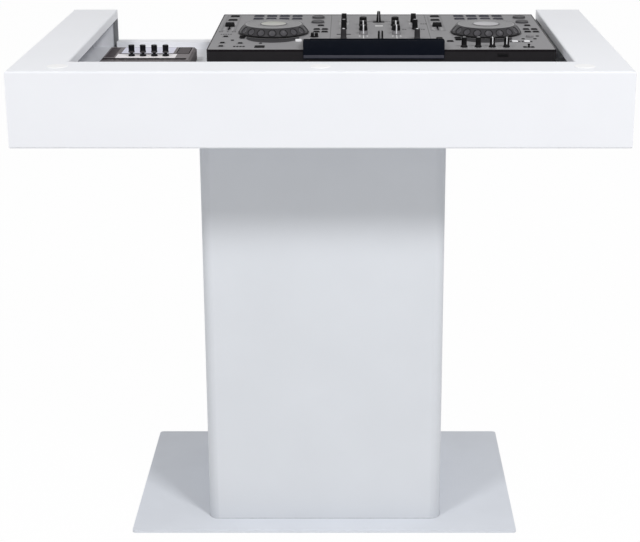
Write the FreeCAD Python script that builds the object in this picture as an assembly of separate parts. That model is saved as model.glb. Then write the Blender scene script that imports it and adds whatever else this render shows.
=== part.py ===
import FreeCAD, Part
import math
import os

# A DJ booth of folded sheet steel with a two-deck console and a small side unit in its tray.
# Millimetres. The origin is on the floor under the middle of the base, +Z is up, -Y is the
# audience side and +Y is the side where the player stands.

# Driving dimensions of the sheet steel, and of cuts and clearances
sheet = 3.0
fold_radius = 4.0
overrun = 10.0
seat_gap = 0.3
running_gap = 0.08
drop_in_gap = 0.2

# Tray
tray_height = 1050.0
ledge_width = 104.0
lip_height = 20.0
apron_height = 152.0
apron_return = 15.0
shelf_drop = 89.0
front_trough = 159.0
side_bay = 259.0
console_end_gap = 15.0
rail_gap = 5.0
rail_depth = 36.0
rail_height = 17.0
stiffener_width = 50.0
stiffener_offset = 20.0

# Round caps on the front ledge
cap_diameter = 42.0
cap_thickness = 1.5
cap_sides = 24
cap_across_shares = (-0.424, 0.0, 0.424)

# Pedestal
base_width = 840.0
base_depth = 520.0
base_thickness = 5.0
base_corner_radius = 8.0
glide_size = 40.0
glide_height = 2.0
glide_inset = 60.0
column_width = 512.0
column_depth = 406.0
column_corner_radius = 22.0
column_flange = 30.0
column_rear_margin = 60.0
rear_panel_overlap = 25.0

# Square-necked bolts and screws of the booth
bolt_neck = 8.0
bolt_head_diameter = 18.0
bolt_head_height = 4.0
screw_neck = 4.0
screw_head_diameter = 9.0
screw_head_height = 2.0
screw_rows = 4
head_sides = 6
head_top_share = 0.6

# Cable port in the shelf
port_width = 64.0
port_depth = 36.0
port_wall = 3.0
port_flange = 8.0
port_flange_height = 2.0

# Console
deck_border = 98.0
mixer_width = 220.0
console_depth = 466.0
console_height = 76.0
case_wall = 3.0
case_corner_radius = 5.0
case_chamfer = 4.0
panel_thickness = 5.0
pocket_depth = 3.5
foot_size = 36.0
foot_height = 8.0
foot_inset = 45.0
board_thickness = 1.6
board_drop = 30.0
board_inset = 40.0
post_size = 10.0

# Sockets on the console's back
socket_drop = 38.0
socket_reach = 4.0
socket_diameter = 22.0
small_socket_diameter = 10.0
socket_sides = 12
inlet_width = 28.0
inlet_height = 22.0
inlet_rim = 4.0
socket_across_shares = (0.26, 0.32)
small_socket_across_shares = (-0.12, -0.08, 0.08, 0.12)
inlet_across_share = -0.41

# Display housing on the console's back edge, measured out from the sides of the mixer
display_left_overhang = 53.0
display_right_overhang = 21.0
display_rise = 20.0
display_hang = 20.0
display_wall = 3.0
display_crown = 12.0
display_toe = 2.0
display_knob_gap = 5.0
glass_margin = 14.0
glass_thickness = 1.2

# Jog wheels
jog_diameter = 156.0
jog_margin = 46.0
jog_along_share = 0.444
jog_lift = 1.5
jog_rim_height = 5.0
jog_height = 20.0
jog_skirt = 14.0
jog_ring_width = 1.5
jog_plate_thickness = 2.5
jog_plate_seat = 6.0
dimple_count = 18
jog_facets_per_dimple = 3
dimple_radius = 9.0
dimple_depth = 2.5
dimple_length_share = 0.62
spindle_width = 22.0
jog_display_diameter = 57.0
jog_display_thickness = 4.0
jog_display_rise = 0.6

# Play and cue buttons, pads and keys of a deck
button_diameter = 29.0
button_sides = 40
button_rise = 4.5
button_travel = 1.5
button_margin = 16.5
play_along_share = 0.884
cue_along_share = 0.7425
pad_width = 22.0
pad_depth = 19.0
pad_pitch_across = 30.0
pad_pitch_along = 40.0
pad_rise = 2.0
pad_along_share = 0.897
pad_columns = 4
pad_rows = 2
key_width = 13.0
key_depth = 13.0
wide_key_width = 20.0
wide_key_depth = 18.0
key_rise = 2.0

# Keys: shares of the jog wheel's radius across from its middle, and of the console's depth
deck_key_shares = ((1.31, 0.648), (1.205, 0.539), (1.436, 0.539), (1.205, 0.466), (1.436, 0.466))
left_key_shares = ((-1.32, 0.165), (-1.32, 0.078), (-0.83, 0.155), (-0.82, 0.285), (-1.31, 0.333))
wide_key_shares = ((-1.32, 0.813), (-1.30, 0.928))
right_key_shares = ((-1.36, 0.290), (-1.09, 0.208), (0.68, 0.203), (1.01, 0.203), (-0.85, 0.300))

# Faders: the caps are width, depth and height, and each tapers to a share of its foot
slot_width = 3.0
stem_thickness = 2.0
stem_length = 8.0
tempo_margin = 25.0
tempo_along_share = 0.625
tempo_travel = 100.0
tempo_cap = (22.0, 14.0, 12.0)
tempo_top_share = 0.85
channel_fader_across_share = 0.361
channel_fader_along_share = 0.751
channel_fader_travel = 60.0
channel_fader_cap = (13.0, 11.0, 20.0)
channel_fader_top_share = 0.85
crossfader_along_share = 0.764
crossfader_travel = 45.0
crossfader_cap = (11.0, 18.0, 24.0)
crossfader_top_share = 0.62

# Knobs
knob_ribs = 10
knob_top_share = 0.86
pointer_width = 1.8
pointer_height = 0.8
shaft_diameter = 6.0
shaft_sides = 6
eq_knob_diameter = 19.0
eq_knob_height = 20.0
eq_knob_across_share = 0.1645
eq_knob_along_shares = (0.648, 0.528, 0.408)
level_knob_diameter = 13.6
level_knob_height = 22.0
level_knob_across_share = 0.361
level_knob_along_shares = (0.541, 0.275)
browse_knob_diameter = 13.0
browse_knob_height = 19.0
browse_knob_along_share = 0.255
mic_knob_diameter = 14.5
mic_knob_height = 21.0
mic_knob_inset = 63.5
mic_knob_along = 28.0
mic_knob_pitch = 29.6
mic_knob_count = 4
loop_knob_diameter = 18.0
loop_knob_height = 9.0
loop_knob_across_share = 1.167
loop_knob_along_share = 0.330

# Toggle switch beside the microphone knobs
toggle_diameter = 5.0
toggle_height = 10.0
toggle_sides = 8
toggle_top_share = 0.7
toggle_slot = 8.0
toggle_lift = 1.0
toggle_gap = 47.0

# Side unit in the left bay
side_unit_width = 200.0
side_unit_depth = 164.0
side_unit_height = 28.0
side_unit_gap = 4.0
side_unit_setback = 180.0
side_unit_chamfer = 3.0
side_panel_thickness = 2.0
side_panel_margin = 4.0
side_knob_diameter = 14.5
side_knob_height = 25.0
side_knob_pitch = 25.3
side_knob_count = 4
side_knob_offset = 4.0
side_knob_along_share = 0.30

# Sizes and places that follow from the driving dimensions
jog_radius = jog_diameter / 2
deck_width = jog_diameter + deck_border
console_width = 2 * deck_width + mixer_width
tray_width = 2 * ledge_width + side_bay + console_width + console_end_gap
tray_depth = ledge_width + front_trough + console_depth + rail_gap + rail_depth
tray_left = -tray_width / 2
tray_right = tray_width / 2
tray_front = -tray_depth / 2
tray_rear = tray_depth / 2
well_left = tray_left + ledge_width
well_right = tray_right - ledge_width
apron_bottom = tray_height - apron_height
shelf_top = tray_height - shelf_drop
shelf_bottom = shelf_top - sheet
rail_front = tray_rear - rail_depth
rail_top = shelf_top + rail_height

base_bottom = glide_height
base_top = base_bottom + base_thickness
column_left = -column_width / 2
column_right = column_width / 2
column_front = -column_depth / 2
column_back = column_depth / 2
port_y = column_front + column_flange + port_flange + port_depth / 2

console_left = well_left + side_bay
console_right = console_left + console_width
console_x = console_left + console_width / 2
console_back = tray_front + ledge_width + front_trough
console_front = console_back + console_depth
case_bottom = shelf_top + foot_height
panel_top = case_bottom + console_height
panel_bottom = panel_top - panel_thickness
pocket_floor = panel_top - pocket_depth
shaft_depth = pocket_depth - 2 * seat_gap
board_bottom = panel_top - board_drop - board_thickness

jog_y = console_back + jog_along_share * console_depth
deck_places = {
    "left": console_x - mixer_width / 2 - jog_margin - jog_radius,
    "right": console_x + mixer_width / 2 + jog_margin + jog_radius,
}
mixer_sides = {"left": -1, "right": 1}

display_left = console_x - mixer_width / 2 - display_left_overhang
display_right = console_x + mixer_width / 2 + display_right_overhang
display_front = (console_back + browse_knob_along_share * console_depth
                 - browse_knob_diameter / 2 - display_knob_gap)

side_unit_x = well_left + side_unit_gap + side_unit_width / 2
side_unit_back = console_back + side_unit_setback
side_unit_y = side_unit_back + side_unit_depth / 2
side_unit_top = shelf_top + side_unit_height


# Shapes that several pieces share

def vec(x, y, z):
    return FreeCAD.Vector(x, y, z)


def block(x_low, x_high, y_low, y_high, z_low, z_high):
    """A box between two corners."""
    return Part.makeBox(x_high - x_low, y_high - y_low, z_high - z_low, vec(x_low, y_low, z_low))


def centred_block(x, y, z_low, z_high, width, depth):
    """A box with its middle over a point."""
    return block(x - width / 2, x + width / 2, y - depth / 2, y + depth / 2, z_low, z_high)


def disc(x, y, z_low, z_high, diameter):
    """An upright cylinder."""
    return Part.makeCylinder(diameter / 2, z_high - z_low, vec(x, y, z_low))


def rounded_plate(x_low, x_high, y_low, y_high, z_low, z_high, radius):
    """A box whose four upright edges are rounded."""
    plate = block(x_low, x_high, y_low, y_high, z_low, z_high)
    upright = [edge for edge in plate.Edges if edge.BoundBox.ZLength > (z_high - z_low) / 2]
    return plate.makeFillet(radius, upright)


def flat_face(points):
    """A flat face inside a closed outline."""
    return Part.Face(Part.makePolygon(points + points[:1]))


def extruded(points, direction):
    """A closed outline of points, extruded along a direction."""
    return flat_face(points).extrude(direction)


def between(low, high):
    """A flat-sided solid between two outlines with the same number of corners."""
    faces = [flat_face(low), flat_face(high)]
    for step in range(len(low)):
        after = (step + 1) % len(low)
        faces.append(flat_face([low[step], low[after], high[after], high[step]]))
    return Part.makeSolid(Part.makeShell(faces))


def rectangle(x, y, z, width, depth):
    """The corners of a level rectangle about a point."""
    return [
        vec(x - width / 2, y - depth / 2, z),
        vec(x + width / 2, y - depth / 2, z),
        vec(x + width / 2, y + depth / 2, z),
        vec(x - width / 2, y + depth / 2, z),
    ]


def polygon(x, y, z, diameter, sides):
    """The corners of a level regular polygon about a point."""
    corners = []
    for step in range(sides):
        angle = 2 * math.pi * (step + 1 / 2) / sides
        corners.append(vec(x + diameter / 2 * math.cos(angle), y + diameter / 2 * math.sin(angle), z))
    return corners


def ribbed_cone(x, y, z_low, z_high, diameter, top_share, sides):
    """A grip with flat ribs all round that narrows to a share of its width at the top."""
    low = polygon(x, y, z_low, diameter, sides)
    high = polygon(x, y, z_high, diameter * top_share, sides)
    return between(low, high)


def ring_of_flats(outline, sides):
    """A ring about the Z axis, whose outline of radius and height goes round in flat facets."""
    rows = [polygon(0, 0, height, 2 * radius, sides) for radius, height in outline]
    faces = []
    for row, next_row in zip(rows, rows[1:] + rows[:1]):
        for step in range(sides):
            after = (step + 1) % sides
            faces.append(flat_face([row[step], row[after], next_row[after], next_row[step]]))
    return Part.makeSolid(Part.makeShell(faces)).removeSplitter()


def joined(shapes):
    """One solid out of pieces that overlap."""
    return shapes[0].multiFuse(shapes[1:]).removeSplitter()


def save(node, solids):
    """Writes one piece, or a group of like pieces, under its node's name."""
    shape = solids[0] if len(solids) == 1 else Part.makeCompound(solids)
    shape.exportStep("parts/" + node + ".step")


# Tray surround: apron, ledge and lip folded from one sheet

def channel_outline():
    """The folded section: distance in from the apron's face, height, and radius at the corner."""
    inner_radius = fold_radius - sheet
    inner = ledge_width - sheet
    lip_bottom = tray_height - lip_height
    ledge_underside = tray_height - sheet
    return_top = apron_bottom + sheet
    return [
        (apron_return, apron_bottom, 0),
        (0, apron_bottom, fold_radius),
        (0, tray_height, fold_radius),
        (ledge_width, tray_height, fold_radius),
        (ledge_width, lip_bottom, 0),
        (inner, lip_bottom, 0),
        (inner, ledge_underside, inner_radius),
        (sheet, ledge_underside, inner_radius),
        (sheet, return_top, inner_radius),
        (apron_return, return_top, 0),
    ]


def folded(points, radii, direction):
    """A section extruded along a direction, with the long edges at its bends rounded."""
    channel = extruded(points, direction)
    for point, radius in zip(points, radii):
        if radius > 0:
            middle = point + direction * (1 / 2)
            bend = min(channel.Edges, key=lambda edge: edge.CenterOfMass.distanceToPoint(middle))
            channel = channel.makeFillet(radius, [bend])
    return channel


def mitre(corner_x, inward, trims_front):
    """The wedge that trims a channel along the 45 degree line through a front corner of the tray."""
    reach = ledge_width + overrun
    low = apron_bottom - overrun
    outer = vec(corner_x - inward * overrun, tray_front - overrun, low)
    inner = vec(corner_x + inward * reach, tray_front + reach, low)
    third = vec(outer.x, inner.y, low) if trims_front else vec(inner.x, outer.y, low)
    return extruded([outer, inner, third], vec(0, 0, apron_height + 2 * overrun))


def front_channel():
    outline = channel_outline()
    points = [vec(tray_left, tray_front + inset, height) for inset, height, radius in outline]
    radii = [radius for inset, height, radius in outline]
    channel = folded(points, radii, vec(tray_width, 0, 0))
    return channel.cut([mitre(tray_left, 1, True), mitre(tray_right, -1, True)])


def side_channel(edge_x, inward):
    outline = channel_outline()
    points = [vec(edge_x + inward * inset, tray_front, height) for inset, height, radius in outline]
    radii = [radius for inset, height, radius in outline]
    channel = folded(points, radii, vec(0, tray_depth - sheet, 0))
    return channel.cut([mitre(edge_x, inward, False)])


def end_panel(edge_x, inward):
    """The plate that closes an arm of the tray on the player's side."""
    low, high = sorted((edge_x, edge_x + inward * ledge_width))
    return block(low, high, tray_rear - sheet, tray_rear, apron_bottom, tray_height)


def ledge_caps():
    y = tray_front + ledge_width / 2
    top = tray_height + cap_thickness
    return [ribbed_cone(share * tray_width, y, tray_height, top, cap_diameter, 1, cap_sides)
            for share in cap_across_shares]


# Shelf with its folded rail, stiffeners and cable port

def shelf():
    plate = block(tray_left + sheet, tray_right - sheet, tray_front + sheet, tray_rear - sheet,
                  shelf_bottom, shelf_top)
    outline = [
        (rail_front, shelf_bottom),
        (rail_front, rail_top),
        (tray_rear, rail_top),
        (tray_rear, apron_bottom),
        (tray_rear - sheet, apron_bottom),
        (tray_rear - sheet, rail_top - sheet),
        (rail_front + sheet, rail_top - sheet),
        (rail_front + sheet, shelf_bottom),
    ]
    points = [vec(well_left, y, z) for y, z in outline]
    rail = extruded(points, vec(well_right - well_left, 0, 0))
    cuts = neck_holes(shelf_bottom, shelf_top)
    cuts.append(port_block(shelf_bottom - overrun, shelf_top + overrun, port_wall + drop_in_gap))
    return joined([plate, rail]).cut(cuts)


def stiffener(y):
    """An open channel under the shelf, from apron to apron, half as deep as the apron's skirt."""
    bottom = (shelf_bottom + apron_bottom) / 2
    half = stiffener_width / 2
    outline = [
        (-half, shelf_bottom),
        (-half, bottom),
        (half, bottom),
        (half, shelf_bottom),
        (half - sheet, shelf_bottom),
        (half - sheet, bottom + sheet),
        (-half + sheet, bottom + sheet),
        (-half + sheet, shelf_bottom),
    ]
    points = [vec(tray_left + sheet, y + across, z) for across, z in outline]
    return extruded(points, vec(tray_width - 2 * sheet, 0, 0))


def shelf_stiffeners():
    offset = column_depth / 2 + stiffener_offset + stiffener_width / 2
    return [stiffener(-offset), stiffener(offset)]


def port_block(z_low, z_high, border):
    """The cable port's opening, grown by a border on all sides."""
    return centred_block(0, port_y, z_low, z_high, port_width + 2 * border, port_depth + 2 * border)


def cable_port():
    """A frame that lines the opening in the shelf, with a flange that lies on it."""
    top = shelf_top + port_flange_height
    liner = port_block(shelf_bottom, top, port_wall)
    flange = port_block(shelf_top, top, port_flange)
    return joined([liner, flange]).cut(port_block(shelf_bottom - overrun, top + overrun, 0))


# Pedestal

def base_plate():
    plate = rounded_plate(-base_width / 2, base_width / 2, -base_depth / 2, base_depth / 2,
                          base_bottom, base_top, base_corner_radius)
    return plate.cut(neck_holes(base_bottom, base_top))


def base_glides():
    across = base_width / 2 - glide_inset
    along = base_depth / 2 - glide_inset
    return [centred_block(x, y, 0, glide_height, glide_size, glide_size)
            for x in (-across, across) for y in (-along, along)]


def column_shell():
    """A folded box column with in-turned flanges at both ends and a window on the player's side."""
    outer = rounded_plate(column_left, column_right, column_front, column_back,
                          base_top, shelf_bottom, column_corner_radius)
    inner = rounded_plate(column_left + sheet, column_right - sheet,
                          column_front + sheet, column_back - sheet,
                          base_top + sheet, shelf_bottom - sheet, column_corner_radius - sheet)
    well = block(column_left + column_flange, column_right - column_flange,
                 column_front + column_flange, column_back - column_flange,
                 base_top - overrun, shelf_bottom + overrun)
    left, right, low, high = column_window()
    window = block(left, right, column_back - sheet - overrun, column_back + overrun, low, high)
    cuts = [inner, well, window]
    cuts += neck_holes(base_top, base_top + sheet)
    cuts += neck_holes(shelf_bottom - sheet, shelf_bottom)
    return outer.cut(cuts + screw_holes())


def column_window():
    """The window's left, right, bottom and top."""
    return (column_left + column_rear_margin, column_right - column_rear_margin,
            base_top + column_rear_margin, shelf_bottom - column_rear_margin)


def column_rear_panel():
    left, right, low, high = column_window()
    panel = block(left - rear_panel_overlap, right + rear_panel_overlap, column_back, column_back + sheet,
                  low - rear_panel_overlap, high + rear_panel_overlap)
    return panel.cut(screw_holes())


def bolt_places():
    """Where the column's flanges are bolted, in the middle of each corner."""
    inset = (sheet + column_flange) / 2
    return [(x, y) for x in (column_left + inset, column_right - inset)
            for y in (column_front + inset, column_back - inset)]


def neck_holes(z_low, z_high):
    """Square holes for the bolts' necks through a level sheet."""
    size = bolt_neck + 2 * drop_in_gap
    return [centred_block(x, y, z_low - overrun, z_high + overrun, size, size) for x, y in bolt_places()]


def bolt(x, y, seat_z, depth):
    """A bolt whose low head lies on a seat and whose square neck passes down through two sheets."""
    neck = centred_block(x, y, seat_z - depth, seat_z + bolt_head_height / 2, bolt_neck, bolt_neck)
    head = ribbed_cone(x, y, seat_z, seat_z + bolt_head_height,
                       bolt_head_diameter, head_top_share, head_sides)
    return joined([head, neck])


def screw_places():
    left, right, low, high = column_window()
    pitch = (high - low) / (screw_rows - 1)
    return [(x, low + pitch * row) for x in (left - rear_panel_overlap / 2, right + rear_panel_overlap / 2)
            for row in range(screw_rows)]


def screw_holes():
    """Square holes through the rear panel and the column's wall."""
    half = screw_neck / 2 + drop_in_gap
    inside = column_back - sheet - overrun
    outside = column_back + sheet + overrun
    return [block(x - half, x + half, inside, outside, z - half, z + half) for x, z in screw_places()]


def screw(x, z):
    """A panel screw, made upright and turned so that its head lies on the rear panel."""
    neck = centred_block(0, 0, -2 * sheet, screw_head_height / 2, screw_neck, screw_neck)
    head = ribbed_cone(0, 0, 0, screw_head_height, screw_head_diameter, head_top_share, head_sides)
    piece = joined([head, neck])
    piece.rotate(vec(0, 0, 0), vec(1, 0, 0), -90)
    piece.translate(vec(x, column_back + sheet, z))
    return piece


def fasteners():
    pieces = [screw(x, z) for x, z in screw_places()]
    for x, y in bolt_places():
        pieces.append(bolt(x, y, shelf_top, 2 * sheet))
        pieces.append(bolt(x, y, base_top + sheet, sheet + base_thickness))
    return pieces


# Console body

def console_case():
    """A tub with a chamfered foot, and posts that carry the circuit board."""
    outer = rounded_plate(console_left, console_right, console_back, console_front,
                          case_bottom, panel_bottom, case_corner_radius)
    foot_edges = [edge for edge in outer.Edges if edge.BoundBox.ZMax < case_bottom + case_chamfer]
    outer = outer.makeChamfer(case_chamfer, foot_edges)
    inner = rounded_plate(console_left + case_wall, console_right - case_wall,
                          console_back + case_wall, console_front - case_wall,
                          case_bottom + case_wall, panel_bottom + overrun, case_corner_radius - case_wall)
    inset = board_inset + post_size
    posts = [centred_block(x, y, case_bottom + case_wall / 2, board_bottom, post_size, post_size)
             for x in (console_left + inset, console_x, console_right - inset)
             for y in (console_back + inset, console_front - inset)]
    return joined([outer.cut(inner)] + posts)


def main_board():
    return block(console_left + board_inset, console_right - board_inset,
                 console_back + board_inset, console_front - board_inset,
                 board_bottom, board_bottom + board_thickness)


def console_top_plate():
    plate = rounded_plate(console_left, console_right, console_back, console_front,
                          panel_bottom, panel_top, case_corner_radius)
    return plate.cut(panel_cuts())


def console_feet():
    return [centred_block(x, y, shelf_top, case_bottom, foot_size, foot_size)
            for x in (console_left + foot_inset, console_right - foot_inset)
            for y in (console_back + foot_inset, console_front - foot_inset)]


def back_socket(across_share, diameter):
    """A round socket that stands out of the console's back."""
    socket = ribbed_cone(0, 0, 0, socket_reach, diameter, 1, socket_sides)
    socket.rotate(vec(0, 0, 0), vec(1, 0, 0), 90)
    socket.translate(vec(console_x + across_share * console_width, console_back, panel_top - socket_drop))
    return socket


def mains_inlet():
    x = console_x + inlet_across_share * console_width
    z = panel_top - socket_drop
    across = inlet_width / 2
    up = inlet_height / 2
    out = console_back - socket_reach
    body = block(x - across, x + across, out, console_back, z - up, z + up)
    hollow = block(x - across + inlet_rim, x + across - inlet_rim, out, out + socket_reach / 2,
                   z - up + inlet_rim, z + up - inlet_rim)
    return body.cut(hollow)


def rear_sockets():
    pieces = [back_socket(share, socket_diameter) for share in socket_across_shares]
    pieces += [back_socket(share, small_socket_diameter) for share in small_socket_across_shares]
    return pieces + [mains_inlet()]


# Display

def display_housing():
    """A wedge that stands on the panel and hangs over the console's back edge."""
    outline = [
        (console_back - display_wall, panel_top - display_hang),
        (console_back - display_wall, panel_top + display_rise),
        (console_back + display_crown, panel_top + display_rise),
        (display_front, panel_top + display_toe),
        (display_front, panel_top),
        (console_back, panel_top),
        (console_back, panel_top - display_hang),
    ]
    points = [vec(display_left, y, z) for y, z in outline]
    return extruded(points, vec(display_right - display_left, 0, 0))


def display_glass():
    """The glass plate on the housing's slope."""
    high = vec(display_left, console_back + display_crown, panel_top + display_rise)
    low = vec(display_left, display_front, panel_top + display_toe)
    slope = low - high
    width = display_right - display_left - 2 * glass_margin
    length = slope.Length - 2 * glass_margin
    glass = Part.makeBox(width, length, glass_thickness, vec(glass_margin, glass_margin, 0))
    glass.rotate(vec(0, 0, 0), vec(1, 0, 0), math.degrees(math.atan2(slope.z, slope.y)))
    glass.translate(high)
    return glass


# Jog wheels

def jog_recess_radius():
    """The inside of the ring at the top of a jog wheel's skirt."""
    return jog_radius - jog_skirt - jog_ring_width


def jog_wheel(x):
    """The skirted ring of a jog wheel, with finger dimples all round the slope of its skirt."""
    recess = jog_recess_radius()
    shoulder = jog_lift + jog_rim_height
    seat = jog_height - jog_plate_thickness
    outline = [
        (recess - jog_plate_seat, jog_lift),
        (jog_radius, jog_lift),
        (jog_radius, shoulder),
        (recess + jog_ring_width, jog_height),
        (recess, jog_height),
        (recess, seat),
        (recess - jog_plate_seat, seat),
    ]
    wheel = ring_of_flats(outline, jog_facets_per_dimple * dimple_count)
    wheel = wheel.cut([dimple(step, shoulder) for step in range(dimple_count)])
    wheel.translate(vec(x, jog_y, panel_top))
    return wheel


def dimple(step, shoulder):
    """The round tool of one dimple, lying along the slope of the skirt."""
    slope = vec(-jog_skirt, 0, jog_height - shoulder)
    length = slope.Length * dimple_length_share
    outward = vec(slope.z, 0, -slope.x).normalize()
    middle = vec(jog_radius, 0, shoulder) + slope * (1 / 2) + outward * (dimple_radius - dimple_depth)
    along = vec(slope.x, 0, slope.z).normalize()
    tool = Part.makeCylinder(dimple_radius, length, middle - along * (length / 2), along)
    tool.rotate(vec(0, 0, 0), vec(0, 0, 1), 360 * step / dimple_count)
    return tool


def jog_plate(x):
    """The flat top of a jog wheel, which turns on the rim of the fixed round display."""
    seat = panel_top + jog_height - jog_plate_thickness
    top = panel_top + jog_height
    diameter = 2 * (jog_recess_radius() - drop_in_gap)
    plate = ribbed_cone(x, jog_y, seat, top, diameter, 1, jog_facets_per_dimple * dimple_count)
    window = jog_display_diameter + 2 * running_gap
    return plate.cut(disc(x, jog_y, seat - overrun, top + overrun, window))


def jog_spindle(x):
    """The fixed post inside a jog wheel, with the round display on its top."""
    top = panel_top + jog_height + jog_display_rise
    post_top = top - jog_display_thickness / 2
    post = centred_block(x, jog_y, pocket_floor, post_top, spindle_width, spindle_width)
    head = disc(x, jog_y, top - jog_display_thickness, top, jog_display_diameter)
    return joined([post, head])


# Buttons, pads and keys

def round_button(x, y):
    """A push button whose foot stands over its pocket's floor by the button's travel."""
    foot = pocket_floor + button_travel
    return ribbed_cone(x, y, foot, panel_top + button_rise, button_diameter, 1, button_sides)


def button_places(deck_x):
    x = deck_x + jog_radius + button_margin
    return {
        "play": (x, console_back + play_along_share * console_depth),
        "cue": (x, console_back + cue_along_share * console_depth),
    }


def pad_places(deck_x):
    middle = console_back + pad_along_share * console_depth
    across = [deck_x + pad_pitch_across * (column - (pad_columns - 1) / 2) for column in range(pad_columns)]
    along = [middle + pad_pitch_along * (row - (pad_rows - 1) / 2) for row in range(pad_rows)]
    return [(x, y) for x in across for y in along]


def pads():
    """The rubber pads of both decks, each on the floor of its pocket."""
    return [centred_block(x, y, pocket_floor, panel_top + pad_rise, pad_width, pad_depth)
            for deck_x in deck_places.values() for x, y in pad_places(deck_x)]


def key_table():
    """Every key's middle, width and depth, on both decks."""
    table = []
    for side, own_shares in (("left", left_key_shares), ("right", right_key_shares)):
        rows = [(share, key_width, key_depth) for share in deck_key_shares + own_shares]
        rows += [(share, wide_key_width, wide_key_depth) for share in wide_key_shares]
        for (across, along), width, depth in rows:
            x = deck_places[side] + across * jog_radius
            table.append((x, console_back + along * console_depth, width, depth))
    return table


def keys():
    """The keys of both decks, each on the floor of its pocket."""
    return [centred_block(x, y, pocket_floor, panel_top + key_rise, width, depth)
            for x, y, width, depth in key_table()]


# Faders

def fader(x, y, cap, top_share, along_x):
    """A tapered cap over the panel, on a flat stem that runs in its slot."""
    width, depth, height = cap
    low = panel_top + seat_gap
    grip = between(rectangle(x, y, low, width, depth),
                   rectangle(x, y, low + height, width * top_share, depth * top_share))
    stem_width, stem_depth = (stem_length, stem_thickness) if along_x else (stem_thickness, stem_length)
    stem = centred_block(x, y, pocket_floor + seat_gap, low + height / 2, stem_width, stem_depth)
    return joined([grip, stem])


def fader_slot(x, y, travel, along_x):
    """The cut in the panel that leaves a fader's stem its whole travel."""
    length = travel + stem_length + 2 * seat_gap
    width, depth = (length, slot_width) if along_x else (slot_width, length)
    return centred_block(x, y, pocket_floor, panel_top + overrun, width, depth)


def fader_table():
    """Every fader's name, place, cap, taper, travel and whether it slides along X."""
    table = []
    tempo_y = console_back + tempo_along_share * console_depth
    for side, deck_x in deck_places.items():
        x = deck_x - jog_radius - tempo_margin
        table.append(("tempo_fader_" + side, x, tempo_y, tempo_cap, tempo_top_share, tempo_travel, False))
    channel_y = console_back + channel_fader_along_share * console_depth
    for side, sign in mixer_sides.items():
        x = console_x + sign * channel_fader_across_share * mixer_width
        table.append(("channel_fader_" + side, x, channel_y, channel_fader_cap, channel_fader_top_share,
                      channel_fader_travel, False))
    cross_y = console_back + crossfader_along_share * console_depth
    table.append(("crossfader", console_x, cross_y, crossfader_cap, crossfader_top_share,
                  crossfader_travel, True))
    return table


# Knobs

def knob(x, y, seat_z, diameter, height):
    """A ribbed knob over a panel, with a raised pointer towards the audience and a flat-sided shaft."""
    low = seat_z + seat_gap
    high = low + height
    grip = ribbed_cone(x, y, low, high, diameter, knob_top_share, knob_ribs)
    reach = diameter * knob_top_share / 2 - pointer_width
    pointer = block(x - pointer_width / 2, x + pointer_width / 2, y - reach, y,
                    high - pointer_height, high + pointer_height)
    shaft = ribbed_cone(x, y, seat_z - shaft_depth, low + height / 2, shaft_diameter, 1, shaft_sides)
    return joined([grip, pointer, shaft])


def knob_column(name, x, along_shares, diameter, height):
    """Rows of a column of knobs, numbered from the player's side."""
    return [("%s_%d" % (name, number), x, console_back + share * console_depth, diameter, height)
            for number, share in enumerate(along_shares, start=1)]


def console_knob_table():
    """Every console knob's name, place, diameter and height."""
    table = []
    for side, sign in mixer_sides.items():
        eq_x = console_x + sign * eq_knob_across_share * mixer_width
        level_x = console_x + sign * level_knob_across_share * mixer_width
        table += knob_column("eq_knob_" + side, eq_x, eq_knob_along_shares, eq_knob_diameter, eq_knob_height)
        table += knob_column("level_knob_" + side, level_x, level_knob_along_shares,
                             level_knob_diameter, level_knob_height)
    browse_y = console_back + browse_knob_along_share * console_depth
    table.append(("browse_knob", console_x, browse_y, browse_knob_diameter, browse_knob_height))
    mic_y = console_back + mic_knob_along
    for step in range(mic_knob_count):
        name = "mic_knob_%d" % (step + 1)
        table.append((name, mic_knob_x(step), mic_y, mic_knob_diameter, mic_knob_height))
    loop_y = console_back + loop_knob_along_share * console_depth
    for side, deck_x in deck_places.items():
        x = deck_x + loop_knob_across_share * jog_radius
        table.append(("loop_knob_" + side, x, loop_y, loop_knob_diameter, loop_knob_height))
    return table


def mic_knob_x(step):
    return console_x + mixer_width / 2 + mic_knob_inset + step * mic_knob_pitch


def shaft_hole(x, y, z_low, z_high):
    """A hole that leaves a knob's shaft room to turn."""
    size = shaft_diameter + 2 * seat_gap
    return centred_block(x, y, z_low, z_high, size, size)


def toggle_place():
    return mic_knob_x(mic_knob_count - 1) + toggle_gap, console_back + mic_knob_along


def toggle_switch():
    """A short lever that rocks between the walls of a narrow pocket."""
    x, y = toggle_place()
    foot = pocket_floor + toggle_lift
    return ribbed_cone(x, y, foot, panel_top + toggle_height, toggle_diameter, toggle_top_share, toggle_sides)


def panel_cuts():
    """All pockets in the console's panel, each from the size of what stands in it."""
    low = pocket_floor
    high = panel_top + overrun
    cuts = []
    for deck_x in deck_places.values():
        cuts.append(centred_block(deck_x, jog_y, low, high, spindle_width, spindle_width))
        for x, y in button_places(deck_x).values():
            cuts.append(disc(x, y, low, high, button_diameter + 2 * seat_gap))
        for x, y in pad_places(deck_x):
            cuts.append(centred_block(x, y, low, high, pad_width + 2 * seat_gap, pad_depth + 2 * seat_gap))
    for x, y, width, depth in key_table():
        cuts.append(centred_block(x, y, low, high, width + 2 * seat_gap, depth + 2 * seat_gap))
    for name, x, y, cap, top_share, travel, along_x in fader_table():
        cuts.append(fader_slot(x, y, travel, along_x))
    for name, x, y, diameter, height in console_knob_table():
        cuts.append(shaft_hole(x, y, low, high))
    x, y = toggle_place()
    across_flats = toggle_diameter * math.cos(math.pi / toggle_sides)
    cuts.append(centred_block(x, y, low, high, across_flats + 2 * running_gap, toggle_slot))
    return cuts


# Side unit

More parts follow.
